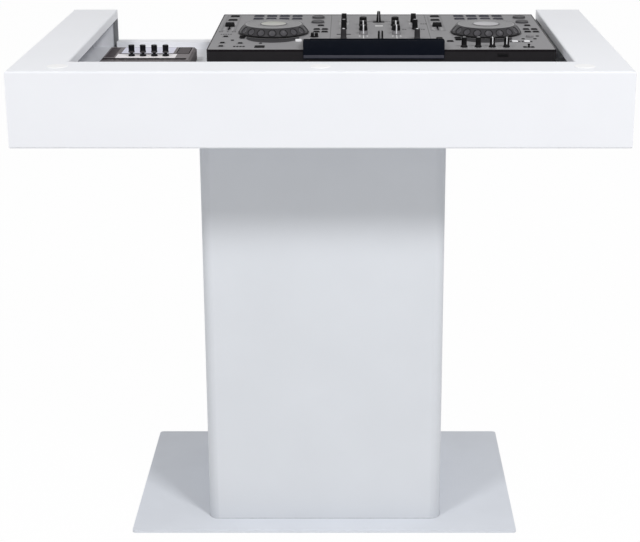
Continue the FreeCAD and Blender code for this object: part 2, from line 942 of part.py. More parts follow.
def side_unit_case():
    top = side_unit_top - side_panel_thickness
    case = centred_block(side_unit_x, side_unit_y, shelf_top, top, side_unit_width, side_unit_depth)
    top_edges = [edge for edge in case.Edges if edge.BoundBox.ZMin > top - side_unit_chamfer]
    case = case.makeChamfer(side_unit_chamfer, top_edges)
    low = side_unit_top - shaft_depth - seat_gap
    return case.cut([shaft_hole(x, y, low, side_unit_top) for x, y in side_knob_places()])


def side_unit_panel():
    width = side_unit_width - 2 * side_panel_margin
    depth = side_unit_depth - 2 * side_panel_margin
    low = side_unit_top - side_panel_thickness
    plate = centred_block(side_unit_x, side_unit_y, low, side_unit_top, width, depth)
    high = side_unit_top + overrun
    return plate.cut([shaft_hole(x, y, low - overrun, high) for x, y in side_knob_places()])


def side_knob_places():
    y = side_unit_back + side_knob_along_share * side_unit_depth
    first = side_unit_x + side_knob_offset - side_knob_pitch * (side_knob_count - 1) / 2
    return [(first + side_knob_pitch * step, y) for step in range(side_knob_count)]


# Every piece goes to its own file

os.makedirs("parts", exist_ok=True)

save("front_channel", [front_channel()])
save("left_channel", [side_channel(tray_left, 1)])
save("right_channel", [side_channel(tray_right, -1)])
save("end_panels", [end_panel(tray_left, 1), end_panel(tray_right, -1)])
save("ledge_caps", ledge_caps())
save("shelf", [shelf()])
save("shelf_stiffeners", shelf_stiffeners())
save("cable_port", [cable_port()])

save("base_plate", [base_plate()])
save("base_glides", base_glides())
save("column_shell", [column_shell()])
save("column_rear_panel", [column_rear_panel()])
save("fasteners", fasteners())

save("console_case", [console_case()])
save("console_top_plate", [console_top_plate()])
save("console_feet", console_feet())
save("main_board", [main_board()])
save("rear_sockets", rear_sockets())
save("display_housing", [display_housing()])
save("display_glass", [display_glass()])

for side, deck_x in deck_places.items():
    save("jog_wheel_" + side, [jog_wheel(deck_x)])
    save("jog_plate_" + side, [jog_plate(deck_x)])
    for button, (x, y) in button_places(deck_x).items():
        save(button + "_button_" + side, [round_button(x, y)])
save("jog_spindles", [jog_spindle(deck_x) for deck_x in deck_places.values()])
save("pads", pads())
save("keys", keys())
save("toggle_switch", [toggle_switch()])

for name, x, y, cap, top_share, travel, along_x in fader_table():
    save(name, [fader(x, y, cap, top_share, along_x)])
for name, x, y, diameter, height in console_knob_table():
    save(name, [knob(x, y, panel_top, diameter, height)])

save("side_unit_case", [side_unit_case()])
save("side_unit_panel", [side_unit_panel()])
for number, (x, y) in enumerate(side_knob_places(), start=1):
    save("side_knob_%d" % number, [knob(x, y, side_unit_top, side_knob_diameter, side_knob_height)])
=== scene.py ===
import math
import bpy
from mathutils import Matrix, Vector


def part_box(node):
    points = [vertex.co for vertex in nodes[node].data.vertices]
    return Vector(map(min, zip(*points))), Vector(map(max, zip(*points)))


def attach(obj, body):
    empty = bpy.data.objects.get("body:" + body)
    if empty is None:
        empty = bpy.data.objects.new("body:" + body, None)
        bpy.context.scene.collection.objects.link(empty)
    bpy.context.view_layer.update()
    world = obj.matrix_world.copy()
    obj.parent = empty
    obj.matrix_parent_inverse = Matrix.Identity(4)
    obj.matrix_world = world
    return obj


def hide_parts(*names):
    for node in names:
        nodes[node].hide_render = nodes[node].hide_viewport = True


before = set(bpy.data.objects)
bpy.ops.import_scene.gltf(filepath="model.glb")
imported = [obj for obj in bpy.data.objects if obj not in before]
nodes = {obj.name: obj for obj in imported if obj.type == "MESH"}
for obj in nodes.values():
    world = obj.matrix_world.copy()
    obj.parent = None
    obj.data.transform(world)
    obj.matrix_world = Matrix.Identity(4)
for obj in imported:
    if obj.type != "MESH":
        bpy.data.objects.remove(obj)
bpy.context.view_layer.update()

from fnmatch import fnmatch

import bmesh
import bpy
from mathutils import Color, Vector

# Looks of a white DJ booth with a two-deck console and a small knob unit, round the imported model.
# Metres, in the model's frame: the camera stands on the -Y side, which is the audience's.

# Picture and camera
picture_width = 640
picture_height = 542
focal_pixels = 1522.2
axis_pixel_x = 352.0
axis_pixel_y = 222.0
sensor_mm = 36.0
camera_place = (0.0607, -3.2543, 1.6109)
camera_pitch = 0.29158

# Lamps: azimuth, elevation, size and power. Azimuth 0 is over the camera, and 90 is on the right.
lamps = {
    "key_lamp": (33.0, 44.5, 0.8, 95.0),
    "fill_lamp": (-36.0, 44.5, 0.8, 53.0),
    "front_lamp": (-25.0, 12.0, 2.8, 5.0),
}
lamp_distance = 4.8
lamp_target = (0.0, 0.0, 0.6)
ambient_strength = 0.43
floor_size = 60.0
floor_grey = 0.92
floor_glow = 0.98
white = (1, 1, 1, 1)

# Texture of the finishes
drift_range = (0.3, 0.7)
drift_detail = 4
grain_detail = 3
roughness_low = 0.88
roughness_high = 1.12
groove_strength = 0.15
groove_wander = 0.4

# Edge rounding, and the steps of round pieces
sheet_edge = 0.0008
edge_steps = 3
edge_angle = 40
crease_angle = 38
dome_crease_angle = 60
weld_distance = 0.00001
sort_digits = 5
fine_steps = 96
knob_steps = 60
corner_steps = 4
least_corner = 0.0002

# Jog wheels. A rim's points are how far in from the edge and down from the top.
jog_rim_height = 0.0012
jog_lift = 0.0015
jog_ring_width = 0.0015
jog_ring_edge = 0.0004
jog_ledge = 0.006
jog_skirt = 0.014
jog_plate_depth = 0.0025
# The dimples' grooves and the skirt's lowest band take painted shade, and the dimples' dishes a painted
# sheen.
dimple_count = 18
dimple_steps = 24
dimple_depth = 0.0024
dimple_reach_share = 0.33
dimple_rise_share = 0.36
dimple_height_share = 0.46
dimple_groove = 0.0009
groove_share = 0.17
dark_groove_share = 0.8
skirt_rows = 30
skirt_swell = 0.0012
skirt_lip_share = 0.1
rim_curve = 0.0014
top_rim = ((0, 0), (0.003, 0), (0.0045, 0.0007))
top_window_rim = ((-0.004, 0.0007), (-0.0025, 0), (0, 0))
top_window_gap = 0.0003
top_edge = 0.0006
top_band = 0.0032
disc_post = 0.01
disc_depth = 0.004
disc_rim = ((0, disc_depth), (0, 0.0004), (0.0008, 0), (0.0026, 0), (0.0034, 0.0005))
disc_dish = 0.0002
disc_band = 0.0028
jog_disc_width = 0.06
# Painted shadow of each wheel on the panel in front of it: a lune of a shifted circle
shadow_radius = 0.057
shadow_ahead = 0.07
shadow_shifts = {"left": 0.001, "right": -0.006}
shadow_gap = 0.002
shadow_steps = 28

# Knobs: rows of foot, fluted grip and top, in shares of the radius and the height
fluted = (
    ((1.0, 0.0), (1.0, 0.12), (0.93, 0.17)),
    ((0.92, 0.2), (0.905, 0.4), (0.89, 0.6), (0.87, 0.8), (0.85, 0.93)),
    ((0.8, 0.985), (0.7, 1.0), (0.55, 0.985), (0.0, 0.98)),
)
flanged = (
    ((1.0, 0.0), (1.0, 0.1), (0.94, 0.15), (0.8, 0.2)),
    ((0.78, 0.24), (0.77, 0.45), (0.76, 0.7), (0.75, 0.92)),
    ((0.7, 0.985), (0.6, 1.0), (0.45, 0.985), (0.0, 0.98)),
)
collared = (
    ((1.0, 0.0), (1.0, 0.12), (0.9, 0.16), (0.45, 0.18),
     (0.45, 0.29), (0.94, 0.31), (0.97, 0.38), (0.94, 0.45)),
    ((0.88, 0.48), (0.9, 0.7), (0.9, 0.94)),
    ((0.84, 0.99), (0.72, 1.0), (0.5, 0.99), (0.0, 0.985)),
)
grey_marked = ["knob_rubber", "mark_grey"]
light_marked = ["knob_rubber", "light_plastic"]
eq_finishes = [*light_marked, "knob_pale_rubber"]
# Styles by name, where the first row that fits counts: profile, finishes and marks
knob_styles = (
    ("side*", collared, ["side_knob_plastic", "unit_collar"], dict(band=(0.28, 0.47))),
    ("browse*", fluted, grey_marked, dict(line=0.0036, line_low=0.05)),
    ("eq*1", fluted, light_marked, {}),
    ("eq*3", fluted, eq_finishes, dict(line=0.0024, line_low=0.05, band=(0, 0.42))),
    ("eq*", fluted, eq_finishes, dict(line=0.0024, line_low=0.05)),
    ("level*2", fluted, ["knob_grey_rubber", "light_plastic"], dict(painted_top_highlight=0.34)),
    ("level*", fluted, grey_marked, dict(painted_top_highlight=0.5)),
    ("mic*[34]", flanged, light_marked, dict(line=0.00192, line_low=0.3)),
    ("mic*", flanged, grey_marked, dict(painted_top_highlight=0.4)),
    ("loop*right", fluted, ["knob_pale_rubber", "mark_grey"],
     dict(line=0.0012, line_low=0.3, height_share=0.45)),
    ("loop*", fluted, grey_marked, dict(line=0.0012, line_low=0.3)),
)
knob_lift = 0.0003
shaft_radius = 0.003
flute_count = 18
flute_depth_share = 0.055
mark_rise = 0.0008
dot_side_share = 0.6
dot_top_share = 0.9

# Faders and round buttons
cap_line_width = 0.0012
cap_line_proud = 0.0001
cap_line_lift = 0.0005
cap_line_edge = 0.0002
cross_top_share = 0.62
flat_top_share = 0.85
tempo_height_share = 0.78
ridge_places = (-2, -1, 1, 2)
ridge_pitches = 6
ridge_width = 0.0009
ridge_run_share = 0.94
ridge_rise = 0.0005
ridge_depth = 0.0015
ridge_edge = 0.0003
control_edge = 0.0006
stem_run = 0.008
stem_breadth = 0.002
stem_sink = 0.002
stem_edge = 0.0002
button_foot = 0.0012
button_rim = ((0, 0.0008), (0.0008, 0), (0.003, 0), (0.0038, 0.0006))
button_dish = ((0.5, 0.0009), (0, 0.001))

# Caps, inlays and bezels
cap_soft_share = 0.1
cap_edge_share = 0.3
cap_slope_share = 1.6
cap_floor_share = 2.4
cap_dish = 0.0003
inlay_sink = 0.0004
inlay_rise = 0.0002
bezel_gap = 0.0004
bezel_rim = 0.0012
bezel_rise = 0.0005
bezel_edge = 0.0002

# Keys and pads. Limits in the model's frame pick out light and small keys.
key_corner = 0.0016
pad_corner = 0.0022
light_key_left = 0.395
light_key_front = 0.0
light_seat = 0.0034
small_key_right = -0.17
small_key_front = 0.06
small_key_share = 0.72

# Seams, edges and marks on the panel. A label row has its middle in the frame, and a count.
seam_width = 0.001
seam_offset = 0.1088
seam_margin = 0.01
tower_bar_ahead = 0.058
tower_bar_size = (0.031, 0.009)
edge_margin = 0.0015
back_edge_depth = 0.012
side_edge_width = 0.0018
label_pitch = 0.0052
label_size = (0.0038, 0.01)
label_rows = ((-0.2153, 0.0642, 5), (-0.2297, 0.0982, 2), (-0.2149, 0.0982, 1), (-0.2007, 0.0982, 2),
              (0.2189, 0.129, 2), (0.1775, 0.129, 2), (0.224, 0.2046, 3))

# Slots and prints beside the controls. A corner of nearly half the size makes a dot round.
long_faders = sorted(name for name in nodes if "_fader_" in name)
slot_lengths = {"tempo": 0.1086, "channel": 0.0686, "crossfader": 0.0536}
slot_breadth = 0.0032
slot_rim = 0.0014
slot_corner = 0.0004
slot_bar = (0.026, 0.009)
surround_width = 0.027
surround_corner = 0.002
surround_rim = 0.0035
surround_margin = 0.009
print_width = 0.0022
print_run = 0.044
print_gap = 0.002
print_dots_along = (-0.022, -0.034)
print_dots_across = 0.0085
print_dot = 0.0042
print_corner = print_dot / 2.1
light_bar_ahead = 0.057
light_bar_size = (0.017, 0.014)
tick_count = 9
tick_margin = 0.01
tick_offset = 0.0085
tick_size = (0.0045, 0.0007)
scale_gap = 0.0032
scale_dots = 9
scale_dot = 0.0013
scale_corner = scale_dot / 2.2
scale_sweep = 290.0

# Small fixed buttons: from which piece, places across and along, size, corner, rise and finish.
# The blocks' places are in the model's frame.
dot_size = (0.0075, 0.0075)
dot_corner = dot_size[0] / 2.1
dot_rise = 0.0012
lamp_start = (-0.0745, -0.172)
lamp_pitch = 0.0065
lamp_count = 4
lamp_row = [(lamp_start[0] + step * lamp_pitch, lamp_start[1]) for step in range(lamp_count)]
left_dots = ((-0.102, 0.049), (-0.084, -0.0968), (-0.0217, -0.1344))
right_dots = ((0.074, -0.08), (0.0995, -0.08), (0.1085, -0.0452))
fixed_buttons = (
    ("jog_plate_left", left_dots, dot_size, dot_corner, dot_rise, 0),
    ("jog_plate_left", lamp_row, (0.005, 0.0115), 0.0008, 0.0004, 0),
    ("jog_plate_right", right_dots, dot_size, dot_corner, dot_rise, 0),
    ("jog_plate_left", ((-0.0214, -0.175),), (0.0225, 0.026), key_corner, dot_rise, 0),
    ("jog_plate_left", ((0.058, -0.103),), (0.0135, 0.018), key_corner, 0.003, 1),
)
blocks = ((-0.177, 0.0262), (0.2897, -0.005))
block_size = (0.013, 0.015)
block_rise = 0.003

# Toggle switch: its lever in shares of the radius and the height, and its plate
toggle_height_share = 0.8
toggle_profile = ((0, 0), (1, 0), (1, 0.4), (0.75, 0.48), (0.8, 0.6),
                  (1.25, 0.78), (1.15, 0.92), (0.6, 1), (0, 1))
toggle_edge = 0.0004
toggle_hole = 0.0086
toggle_hole_corner = 0.0008
toggle_rim = 0.0018
toggle_arm = (0.0075, 0.014)
toggle_arm_corner = 0.0035
toggle_arm_rise = 0.001

# Display trim, and the plate on the case, whose foot is a height in the frame
trim_end = 0.001
trim_proud = 0.0004
trim_sunk = 0.001
trim_foot = 0.0022
trim_top = 0.0085
cover_margin = 0.0008
cover_depth = 0.014
plate_offset = 0.241
plate_size = (0.023, 0.0084)
plate_foot = 1.0293
plate_proud = 0.0005
plate_rim = 0.0012

# Sockets: shares of the radius or insets from the edge, and depths below the face
round_limit = 0.002
socket_edge = 0.0006
socket_bore = ((0.72, 0), (0.66, 0.0006), (0.62, 0.003), (0, 0.003))
socket_ring = ((0.8, 0.0004), (0.8, -0.00005), (0.9, -0.00005), (0.9, 0.0004))
inlet_corner = 0.003
inlet_rim = ((0, 0.0006), (0.0006, 0), (0.0035, 0), (0.0042, 0.003))
inlet_pins = ((-0.006, -0.002), (0, 0.002), (0.006, -0.002))
pin_size = (0.002, 0.004)
pin_corner = 0.0003
pin_rows = ((0, 0.0031), (0, 0.001))

# Side unit's face, across and along from its corner: first the finish, then place and size
unit_fields = (
    (0, (0.004, 0.03, 0.02, 0.117)),
    (1, (0.034, 0.078, 0.117, 0.074)),
    (3, (0.03, 0.0715, 0.128, 0.0055)),
    (2, (0.028, 0.022, 0.133, 0.048)),
    (3, (0.001, 0.001, 0.186, 0.017)),
    (0, (0.16, 0.074, 0.025, 0.075)),
)
# A dark frame round the right window, as painted shade along its edges.
unit_shade_frame = (0.1595, 0.0735, 0.026, 0.076)
unit_shade_frame_rim = 0.002
unit_corner = 0.0012

# Booth caps, and a strip and a bead of painted shade. A dome's rows are insets and shares of its height, a
# bead's are shares of its size.
dome_rows = ((0, 0), (0.0002, 0.3), (0.0012, 0.62), (0.004, 0.8), (0.01, 0.86))
dome_tip_share = 0.9
lip_height = 0.0205
# Strips of painted shade on the end panels' inner edges
shade_strip_width = 0.0105
shade_strip_depth = 0.0035
shade_strip_round = 0.001
bead_size = 0.0015
bead_rows = ((1, 0), (-1, 0), (-0.9, 0.5), (-0.45, 1.3), (1, 1.7))
column_corner = 0.022

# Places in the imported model
panel_low, panel_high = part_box("console_top_plate")
panel_top = panel_high.z
console_x = (panel_low.x + panel_high.x) / 2
shelf_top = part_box("console_feet")[0].z
lip_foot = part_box("left_channel")[1].z - lip_height
unit_low, unit_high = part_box("side_unit_panel")
unit_top = unit_high.z


# Finishes

def linear(colour):
    """The light of a screen colour."""
    return list(Color(colour).from_srgb_to_scene_linear())


def add_node(tree, kind, values=()):
    """A new shader node with values for inputs."""
    made = tree.nodes.new("ShaderNode" + kind)
    for name, value in dict(values).items():
        made.inputs[name].default_value = value
    return made


def join(tree, *wires):
    """Links from outputs to inputs of shader nodes."""
    for source, output, target, entry in wires:
        tree.links.new(source.outputs[output], target.inputs[entry])


def finish(name, colour, roughness, mottle, mottle_size, grain, grain_size, shine, metal=0.0, groove=0.0):
    """A finish that drifts slowly, with a fine grain and perhaps grooves about Z."""
    made = bpy.data.materials.new(name)
    made.use_nodes = True
    tree = made.node_tree
    shader = tree.nodes["Principled BSDF"]
    shader.inputs["Metallic"].default_value = metal
    shader.inputs["Specular IOR Level"].default_value = shine
    place = add_node(tree, "TexCoord")
    drift = add_node(tree, "TexNoise", {"Scale": 1 / mottle_size, "Detail": drift_detail})
    ramp = add_node(tree, "ValToRGB")
    dark, light = ramp.color_ramp.elements
    dark.position, light.position = drift_range
    shade = linear(colour)
    dark.color = [channel * (1 - mottle) for channel in shade] + [1]
    light.color = [min(1, channel * (1 + mottle)) for channel in shade] + [1]
    limits = {"To Min": roughness * roughness_low, "To Max": min(1, roughness * roughness_high)}
    spread = add_node(tree, "MapRange", limits)
    peel = add_node(tree, "TexNoise", {"Scale": 1 / grain_size, "Detail": grain_detail})
    bump = add_node(tree, "Bump", {"Strength": grain, "Distance": grain_size})
    join(tree, (place, "Object", drift, "Vector"), (drift, "Fac", ramp, "Fac"),
         (ramp, "Color", shader, "Base Color"), (drift, "Fac", spread, "Value"),
         (spread, "Result", shader, "Roughness"), (place, "Object", peel, "Vector"),
         (peel, "Fac", bump, "Height"), (bump, "Normal", shader, "Normal"))
    if groove:
        rings = add_node(tree, "TexWave", {"Scale": 1 / groove, "Distortion": groove_wander})
        rings.wave_type = "RINGS"
        rings.rings_direction = "Z"
        cut = add_node(tree, "Bump", {"Strength": groove_strength, "Distance": groove})
        join(tree, (place, "Object", rings, "Vector"), (rings, "Fac", cut, "Height"),
             (bump, "Normal", cut, "Normal"), (cut, "Normal", shader, "Normal"))
    return made


def dark_sides(material, colour, axis, shaded, plain):
    """Colours faces by how far they face along an axis, from a dark colour to the plain finish."""
    tree = material.node_tree
    parts = add_node(tree, "SeparateXYZ")
    facing = add_node(tree, "MapRange", {"From Min": shaded, "From Max": plain})
    join(tree, (tree.nodes["Texture Coordinate"], "Normal", parts, "Vector"), (parts, axis, facing, "Value"))
    blend = add_node(tree, "Mix")
    blend.data_type = "RGBA"
    sockets = {socket.identifier: socket for socket in (*blend.inputs, *blend.outputs)}
    sockets["A_Color"].default_value = (*linear(colour), 1)
    tree.links.new(facing.outputs["Result"], sockets["Factor_Float"])
    tree.links.new(tree.nodes["Color Ramp"].outputs["Color"], sockets["B_Color"])
    tree.links.new(sockets["Result_Color"], tree.nodes["Principled BSDF"].inputs["Base Color"])


# Looks: colour, roughness, drift and its length, grain and its size, shine, then metal and groove if any
look_values = {
    "booth_powder_coat": ((0.918, 0.923, 0.94), 0.42, 0.012, 0.18, 0.06, 0.0014, 0.15),
    "column_powder_coat": ((0.852, 0.864, 0.884), 0.45, 0.015, 0.15, 0.06, 0.0014, 0.15),
    "base_powder_coat": ((0.856, 0.87, 0.896), 0.45, 0.02, 0.12, 0.06, 0.0014, 0.15),
    "cap_plastic": ((0.94, 0.94, 0.945), 0.5, 0.01, 0.02, 0.08, 0.0006, 0.5),
    "port_plastic": ((0.8, 0.81, 0.82), 0.5, 0.02, 0.02, 0.1, 0.0006, 0.5),
    "foot_rubber": ((0.1, 0.1, 0.1), 0.85, 0.08, 0.01, 0.3, 0.0008, 0.3),
    "zinc_plate": ((0.74, 0.74, 0.75), 0.35, 0.06, 0.004, 0.1, 0.0004, 0.5, 1.0),
    "console_shell": ((0.098, 0.09, 0.1), 0.55, 0.08, 0.03, 0.25, 0.0007, 0.25),
    "panel_anodised": ((0.532, 0.529, 0.537), 0.5, 0.05, 0.006, 0.12, 0.0005, 0.06),
    "panel_dark_inlay": ((0.43, 0.425, 0.435), 0.5, 0.05, 0.006, 0.12, 0.0005, 0.06),
    "panel_edge_inlay": ((0.495, 0.492, 0.5), 0.5, 0.05, 0.006, 0.12, 0.0005, 0.06),
    "panel_line": ((0.2, 0.195, 0.205), 0.6, 0.05, 0.006, 0.12, 0.0005, 0.02),
    # Painted shadow of the jog wheels on the panel
    "painted_jog_shadow": ((0.232, 0.229, 0.237), 0.6, 0.06, 0.006, 0.2, 0.0006, 0.02),
    "panel_seam": ((0.33, 0.325, 0.335), 0.6, 0.05, 0.01, 0.1, 0.0005, 0.06),
    "board_laminate": ((0.1, 0.3, 0.18), 0.4, 0.2, 0.004, 0.1, 0.0005, 0.5),
    "socket_plastic": ((0.08, 0.08, 0.085), 0.45, 0.06, 0.01, 0.15, 0.0005, 0.1),
    "display_gloss": ((0.06, 0.075, 0.11), 0.2, 0.06, 0.05, 0.02, 0.002, 0.16),
    "display_matt": ((0.055, 0.068, 0.098), 0.6, 0.06, 0.01, 0.15, 0.0006, 0.0),
    "display_trim": ((0.265, 0.267, 0.3), 0.4, 0.05, 0.03, 0.05, 0.0008, 0.2),
    "screen_glass": ((0.05, 0.055, 0.07), 0.12, 0.05, 0.08, 0.01, 0.004, 0.15),
    "skirt_plastic": ((0.196, 0.192, 0.203), 0.4, 0.05, 0.02, 0.12, 0.0005, 0.2),
    # Painted shade and painted sheen of the jog skirts; the sheen's grey also rings the jog discs.
    "skirt_painted_shade": ((0.12, 0.117, 0.124), 0.5, 0.05, 0.02, 0.12, 0.0005, 0.06),
    "dimple_sheen_and_disc_ring": ((0.275, 0.27, 0.285), 0.4, 0.05, 0.01, 0.12, 0.0005, 0.2),
    "jog_disc_cream": ((0.655, 0.655, 0.63), 0.3, 0.03, 0.01, 0.03, 0.0008, 0.08),
    "jog_disc_grey": ((0.68, 0.675, 0.69), 0.3, 0.03, 0.01, 0.03, 0.0008, 0.08),
    "performance_pad": ((0.2, 0.2, 0.235), 0.6, 0.08, 0.004, 0.2, 0.0005, 0.05),
    "key_plastic": ((0.085, 0.083, 0.087), 0.55, 0.08, 0.004, 0.15, 0.0004, 0.01),
    "light_plastic": ((0.9, 0.9, 0.91), 0.45, 0.02, 0.004, 0.08, 0.0004, 0.1),
    "mark_grey": ((0.58, 0.58, 0.59), 0.5, 0.03, 0.004, 0.08, 0.0004, 0.06),
    "panel_print": ((0.86, 0.86, 0.86), 0.5, 0.03, 0.004, 0.08, 0.0003, 0.1),
    "fader_plastic": ((0.085, 0.083, 0.087), 0.5, 0.08, 0.004, 0.15, 0.0004, 0.1),
    "knob_rubber": ((0.07, 0.068, 0.073), 0.5, 0.08, 0.004, 0.2, 0.0004, 0.1),
    "side_knob_plastic": ((0.05, 0.05, 0.072), 0.4, 0.08, 0.004, 0.15, 0.0004, 0.15),
    "knob_grey_rubber": ((0.22, 0.217, 0.225), 0.5, 0.08, 0.004, 0.2, 0.0004, 0.06),
    "knob_pale_rubber": ((0.5, 0.495, 0.505), 0.5, 0.06, 0.004, 0.2, 0.0004, 0.06),
    "silver_plate": ((0.8, 0.8, 0.82), 0.22, 0.03, 0.004, 0.05, 0.0004, 0.5, 1.0),
    "unit_shell": ((0.46, 0.445, 0.45), 0.6, 0.16, 0.006, 0.3, 0.0009, 0.04),
    "unit_panel": ((0.485, 0.468, 0.474), 0.55, 0.2, 0.004, 0.25, 0.0008, 0.04),
    "unit_lilac": ((0.85, 0.85, 0.905), 0.5, 0.05, 0.006, 0.1, 0.0006, 0.05),
    "unit_strip": ((0.95, 0.935, 0.945), 0.5, 0.04, 0.006, 0.1, 0.0006, 0.05),
    "unit_window": ((0.265, 0.24, 0.252), 0.4, 0.14, 0.008, 0.04, 0.001, 0.02),
    "unit_dark": ((0.15, 0.138, 0.146), 0.55, 0.1, 0.006, 0.2, 0.0008, 0.0),
    "unit_collar": ((0.25, 0.24, 0.245), 0.5, 0.08, 0.004, 0.2, 0.0005, 0.08),
    # Painted shade in the arms' rear corners
    "end_strip_painted_shade": ((0.53, 0.535, 0.545), 0.7, 0.06, 0.01, 0.2, 0.0008, 0.1),
    # Painted contact shade at the column's foot
    "painted_foot_shade": ((0.76, 0.77, 0.79), 0.6, 0.05, 0.01, 0.2, 0.0008, 0.1),
    "jog_turned_top": ((0.508, 0.506, 0.512), 0.42, 0.03, 0.06, 0.1, 0.001, 0.08, 0.0, 0.0011),
    "jog_turned_rim": ((0.575, 0.573, 0.58), 0.4, 0.03, 0.06, 0.1, 0.001, 0.08, 0.0, 0.0008),
    "button_plastic": ((0.33, 0.327, 0.335), 0.45, 0.03, 0.06, 0.1, 0.001, 0.04, 0.0, 0.0009),
}
looks = {name: finish(name, *values) for name, values in look_values.items()}
# The top plate's sides and the walls of its openings are dark, near the case's colour.
dark_sides(looks["panel_anodised"], (0.11, 0.1, 0.11), "Z", 0.75, 0.95)
# The side unit's case is darker on faces turned to the audience.
dark_sides(looks["unit_shell"], (0.16, 0.148, 0.155), "Y", -0.95, -0.6)

node_looks = {
    "booth_powder_coat": ["front_channel", "left_channel", "right_channel", "end_panels", "shelf",
                          "shelf_stiffeners"],
    "port_plastic": ["cable_port"],
    "base_powder_coat": ["base_plate"],
    "foot_rubber": ["base_glides", "console_feet"],
    "column_powder_coat": ["column_shell", "column_rear_panel"],
    "zinc_plate": ["fasteners"],
    "console_shell": ["console_case"],
    "panel_anodised": ["console_top_plate"],
    "board_laminate": ["main_board"],
    "socket_plastic": ["rear_sockets"],
    "display_gloss": ["display_housing"],
    "screen_glass": ["display_glass"],
    "unit_shell": ["side_unit_case"],
    "unit_panel": ["side_unit_panel"],
}


def dress_node(name, material):
    """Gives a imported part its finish, and unless it is a folded channel a small radius on its edges."""
    part = nodes[name]
    part.data.materials.clear()
    part.data.materials.append(material)
    if name.endswith("_channel"):
        return
    weld = part.modifiers.new("weld", "WELD")
    weld.merge_threshold = weld_distance
    edge = part.modifiers.new("edge", "BEVEL")
    edge.width = sheet_edge
    edge.segments = edge_steps
    edge.limit_method = "ANGLE"
    edge.angle_limit = math.radians(edge_angle)
    edge.harden_normals = True


for look_name, node_names in node_looks.items():
    for node_name in node_names:
        dress_node(node_name, looks[look_name])


# Places and outlines

def plan(box):
    """The middle and the size of a box in plan."""
    low, high = box
    return ((low.x + high.x) / 2, (low.y + high.y) / 2), (high.x - low.x, high.y - low.y)


def upright(name):
    """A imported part's middle and size in plan, and its lowest and highest point."""
    low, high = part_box(name)
    return (*plan((low, high)), low.z, high.z)


def middle(name):
    """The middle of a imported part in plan."""
    return upright(name)[0]


def islands(name):
    """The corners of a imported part's separate solids, from left to right."""
    bm = bmesh.new()
    bm.from_mesh(nodes[name].data)
    bm.transform(nodes[name].matrix_world)
    bmesh.ops.remove_doubles(bm, verts=bm.verts, dist=weld_distance)
    waiting = set(bm.verts)
    boxes = []
    while waiting:
        group = [waiting.pop()]
        for vert in group:
            found = waiting.intersection(line.other_vert(vert) for line in vert.link_edges)
            waiting -= found
            group += found
        corners = [[pick(vert.co[axis] for vert in group) for axis in range(3)] for pick in (min, max)]
        boxes.append((Vector(corners[0]), Vector(corners[1])))
    bm.free()
    return sorted(boxes, key=lambda box: (round(box[0].x, sort_digits), round(box[0].y, sort_digits)))


def inside(radius, top, rows):
    """Outline points in from a radius and down from a top."""
    return [(radius - inset, top - drop) for inset, drop in rows]


def shared(radius, top, rows):
    """Outline points at shares of a radius and down from a top."""
    return [(radius * share, top - drop) for share, drop in rows]


def spaced(run, count):
    """Evenly spaced places over a run, about its middle."""
    return [run * (step / (count - 1) - 0.5) for step in range(count)]


def crosswise(along_x, first, second):
    """A pair as it is for a run along X, and swapped for one along Y."""
    return (first, second) if along_x else (second, first)


def rim_of(half_x, half_y, x=0, y=0):
    """The low and high limits of a rectangle about a place."""
    return x - half_x, x + half_x, y - half_y, y + half_y


def softened(outline, radius, steps=3):
    """An open outline whose inner corners are rounded."""
    points = [Vector(point) for point in outline]
    made = [points[0]]
    for before, corner, after in zip(points, points[1:], points[2:]):
        arms = (before - corner, after - corner)
        start, end = [corner + arm.normalized() * min(radius, arm.length / 2) for arm in arms]
        for step in range(steps + 1):
            share = step / steps
            made.append(start.lerp(corner, share).lerp(corner.lerp(end, share), share))
    made.append(points[-1])
    return [(point.x, point.y) for point in made]


def round_rectangle(width, depth, corner):
    """Points round a rectangle with rounded corners."""
    points = []
    for quarter, (sign_x, sign_y) in enumerate(((1, 1), (-1, 1), (-1, -1), (1, -1))):
        for step in range(corner_steps + 1):
            angle = math.pi / 2 * (quarter + step / corner_steps)
            points.append((sign_x * (width / 2 - corner) + corner * math.cos(angle),
                           sign_y * (depth / 2 - corner) + corner * math.sin(angle)))
    return points


# Mesh tools

def bridge(bm, rows, index=0):
    """Faces between rows of points. A row of one point is a tip."""
    steps = max(len(row) for row in rows)
    for low, high in zip(rows, rows[1:]):
        for step in range(steps):
            after = (step + 1) % steps
            corners = [low[step % len(low)], low[after % len(low)],
                       high[after % len(high)], high[step % len(high)]]
            face = bm.faces.new(list(dict.fromkeys(corners)))
            face.material_index = index


def add_turned(bm, outline, steps=knob_steps, shape=None, index=0, place=(0, 0)):
    """An outline of radius and height, turned about an upright axis. shape changes a point."""
    x, y = place
    rows = []
    for radius, height in outline:
        if radius == 0:
            rows.append([bm.verts.new((x, y, height))])
            continue
        ring = []
        for step in range(steps):
            angle = 2 * math.pi * step / steps
            out, up = shape(radius, height, angle) if shape else (radius, height)
            ring.append(bm.verts.new((x + out * math.cos(angle), y + out * math.sin(angle), up)))
        rows.append(ring)
    bridge(bm, rows, index)


def add_frustum(bm, foot, top, z_low, z_high, edge, index=0, steps=2):
    """A rounded block from a foot to a top, each x low, x high, y low and y high."""
    old_faces = set(bm.faces)
    made = bmesh.ops.create_cube(bm, size=1)["verts"]
    for vert in made:
        x_low, x_high, y_low, y_high = top if vert.co.z > 0 else foot
        vert.co = (x_high if vert.co.x > 0 else x_low,
                   y_high if vert.co.y > 0 else y_low,
                   z_high if vert.co.z > 0 else z_low)
    edges = list({line for vert in made for line in vert.link_edges})
    bmesh.ops.bevel(bm, geom=edges, offset=edge, segments=steps, profile=0.5, affect="EDGES")
    for face in set(bm.faces) - old_faces:
        face.material_index = index


